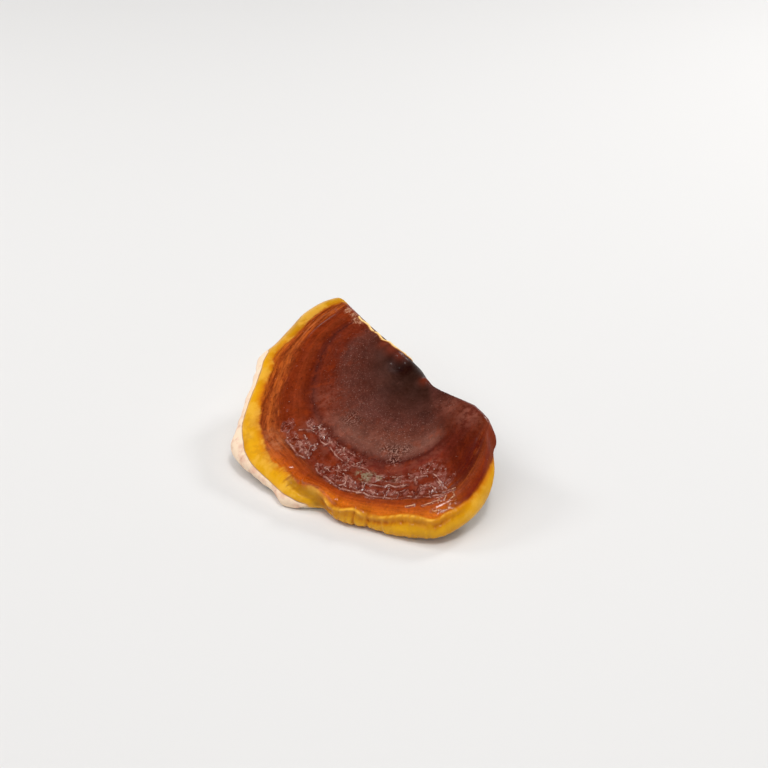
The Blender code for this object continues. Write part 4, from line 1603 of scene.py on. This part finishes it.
def soft_light(name, kind, place, aim, settings, mirrored):
    """A lamp that faces its aim. One that isn't mirrored lights the piece and doesn't show in its gloss."""
    lamp = bpy.data.lights.new(name, kind)
    for label, setting in settings.items():
        setattr(lamp, label, setting)
    item = bpy.data.objects.new(name, lamp)
    item.location = place
    item.rotation_euler = (Vector(aim) - Vector(place)).to_track_quat("-Z", "Y").to_euler()
    item.visible_glossy = mirrored
    bpy.context.scene.collection.objects.link(item)


def room_light():
    """The room: pale at the horizon, dim overhead."""
    world = bpy.data.worlds.new("room")
    world.use_nodes = True
    tree = Tree(world.node_tree)
    height = tree.split(tree.node("ShaderNodeTexCoord", output="Generated"))[2]
    colour = tree.mix(height.climb(0.08, 0.40), HORIZON, OVERHEAD)
    feed(world.node_tree.nodes["Background"].inputs["Color"], colour)
    bpy.context.scene.world = world


def set_camera(scene, looks):
    """A camera level with the horizon that looks down at its aim."""
    camera = bpy.data.objects.new("camera", bpy.data.cameras.new("camera"))
    back = Vector((0, -math.cos(looks.camera_elevation), math.sin(looks.camera_elevation)))
    camera.location = Vector(looks.aim) + back * looks.camera_distance
    camera.rotation_euler = (-back).to_track_quat("-Z", "Y").to_euler()
    camera.data.lens = looks.lens
    scene.collection.objects.link(camera)
    scene.camera = camera


class REISHI_OT_set_stage(bpy.types.Operator):
    """Set the floor, the lights and the camera"""

    bl_idname = "reishi.set_stage"
    bl_label = "Set Stage"

    def execute(self, context):
        looks = context.scene.reishi_stage
        floor = plain_floor(looks.floor_radius, looks.floor_colour)

        overhead = {"angle": FILL_SPREAD, "energy": looks.fill_power}
        soft_light("overhead", "SUN", FILL_PLACE, looks.aim, overhead, False)
        settings = {"size": KEY_SIZE, "energy": looks.key_power}
        soft_light("key", "AREA", KEY_PLACE, looks.aim, settings, False)
        for place in GLINT_PLACES:
            glint = {"size": GLINT_SIZE, "energy": looks.glint_power}
            soft_light("glint", "AREA", place, looks.aim, glint, True)
        room_light()
        set_camera(context.scene, looks)
        context.scene.view_settings.view_transform = "Standard"
        return {"FINISHED"}


class REISHI_PT_maker(bpy.types.Panel):
    """The mushroom's steps, in their order, with what can be changed in each"""

    bl_idname = "REISHI_PT_maker"
    bl_label = "Reishi"
    bl_space_type = "VIEW_3D"
    bl_region_type = "UI"
    bl_category = "Reishi"

    def draw(self, context):
        for operator, looks in STEPS:
            box = self.layout.box()
            group = getattr(context.scene, looks)
            for name in group.__annotations__:
                box.prop(group, name)
            box.operator(operator)


STEPS = (
    ("reishi.make_cap", "reishi_cap"),
    ("reishi.make_stem", "reishi_stem"),
    ("reishi.scatter_dust", "reishi_dust"),
    ("reishi.set_stage", "reishi_stage"),
)
LOOKS = {
    "reishi_cap": ReishiCapLooks,
    "reishi_stem": ReishiStemLooks,
    "reishi_dust": ReishiDustLooks,
    "reishi_stage": ReishiStageLooks,
}
CLASSES = (
    *LOOKS.values(), REISHI_OT_make_cap, REISHI_OT_make_stem, REISHI_OT_scatter_dust, REISHI_OT_set_stage,
    REISHI_PT_maker,
)


def register():
    """Registers the classes and gives the scene its property groups."""
    for item in CLASSES:
        bpy.utils.register_class(item)
    for name, group in LOOKS.items():
        setattr(bpy.types.Scene, name, PointerProperty(type=group))


def unregister():
    """Takes the property groups and the classes away again."""
    for name in LOOKS:
        delattr(bpy.types.Scene, name)
    for item in reversed(CLASSES):
        bpy.utils.unregister_class(item)


def main():
    """Registers the classes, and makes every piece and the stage."""
    register()
    for operator, _ in STEPS:
        group, name = operator.split(".")
        getattr(getattr(bpy.ops, group), name)()


if __name__ == "__main__":
    main()
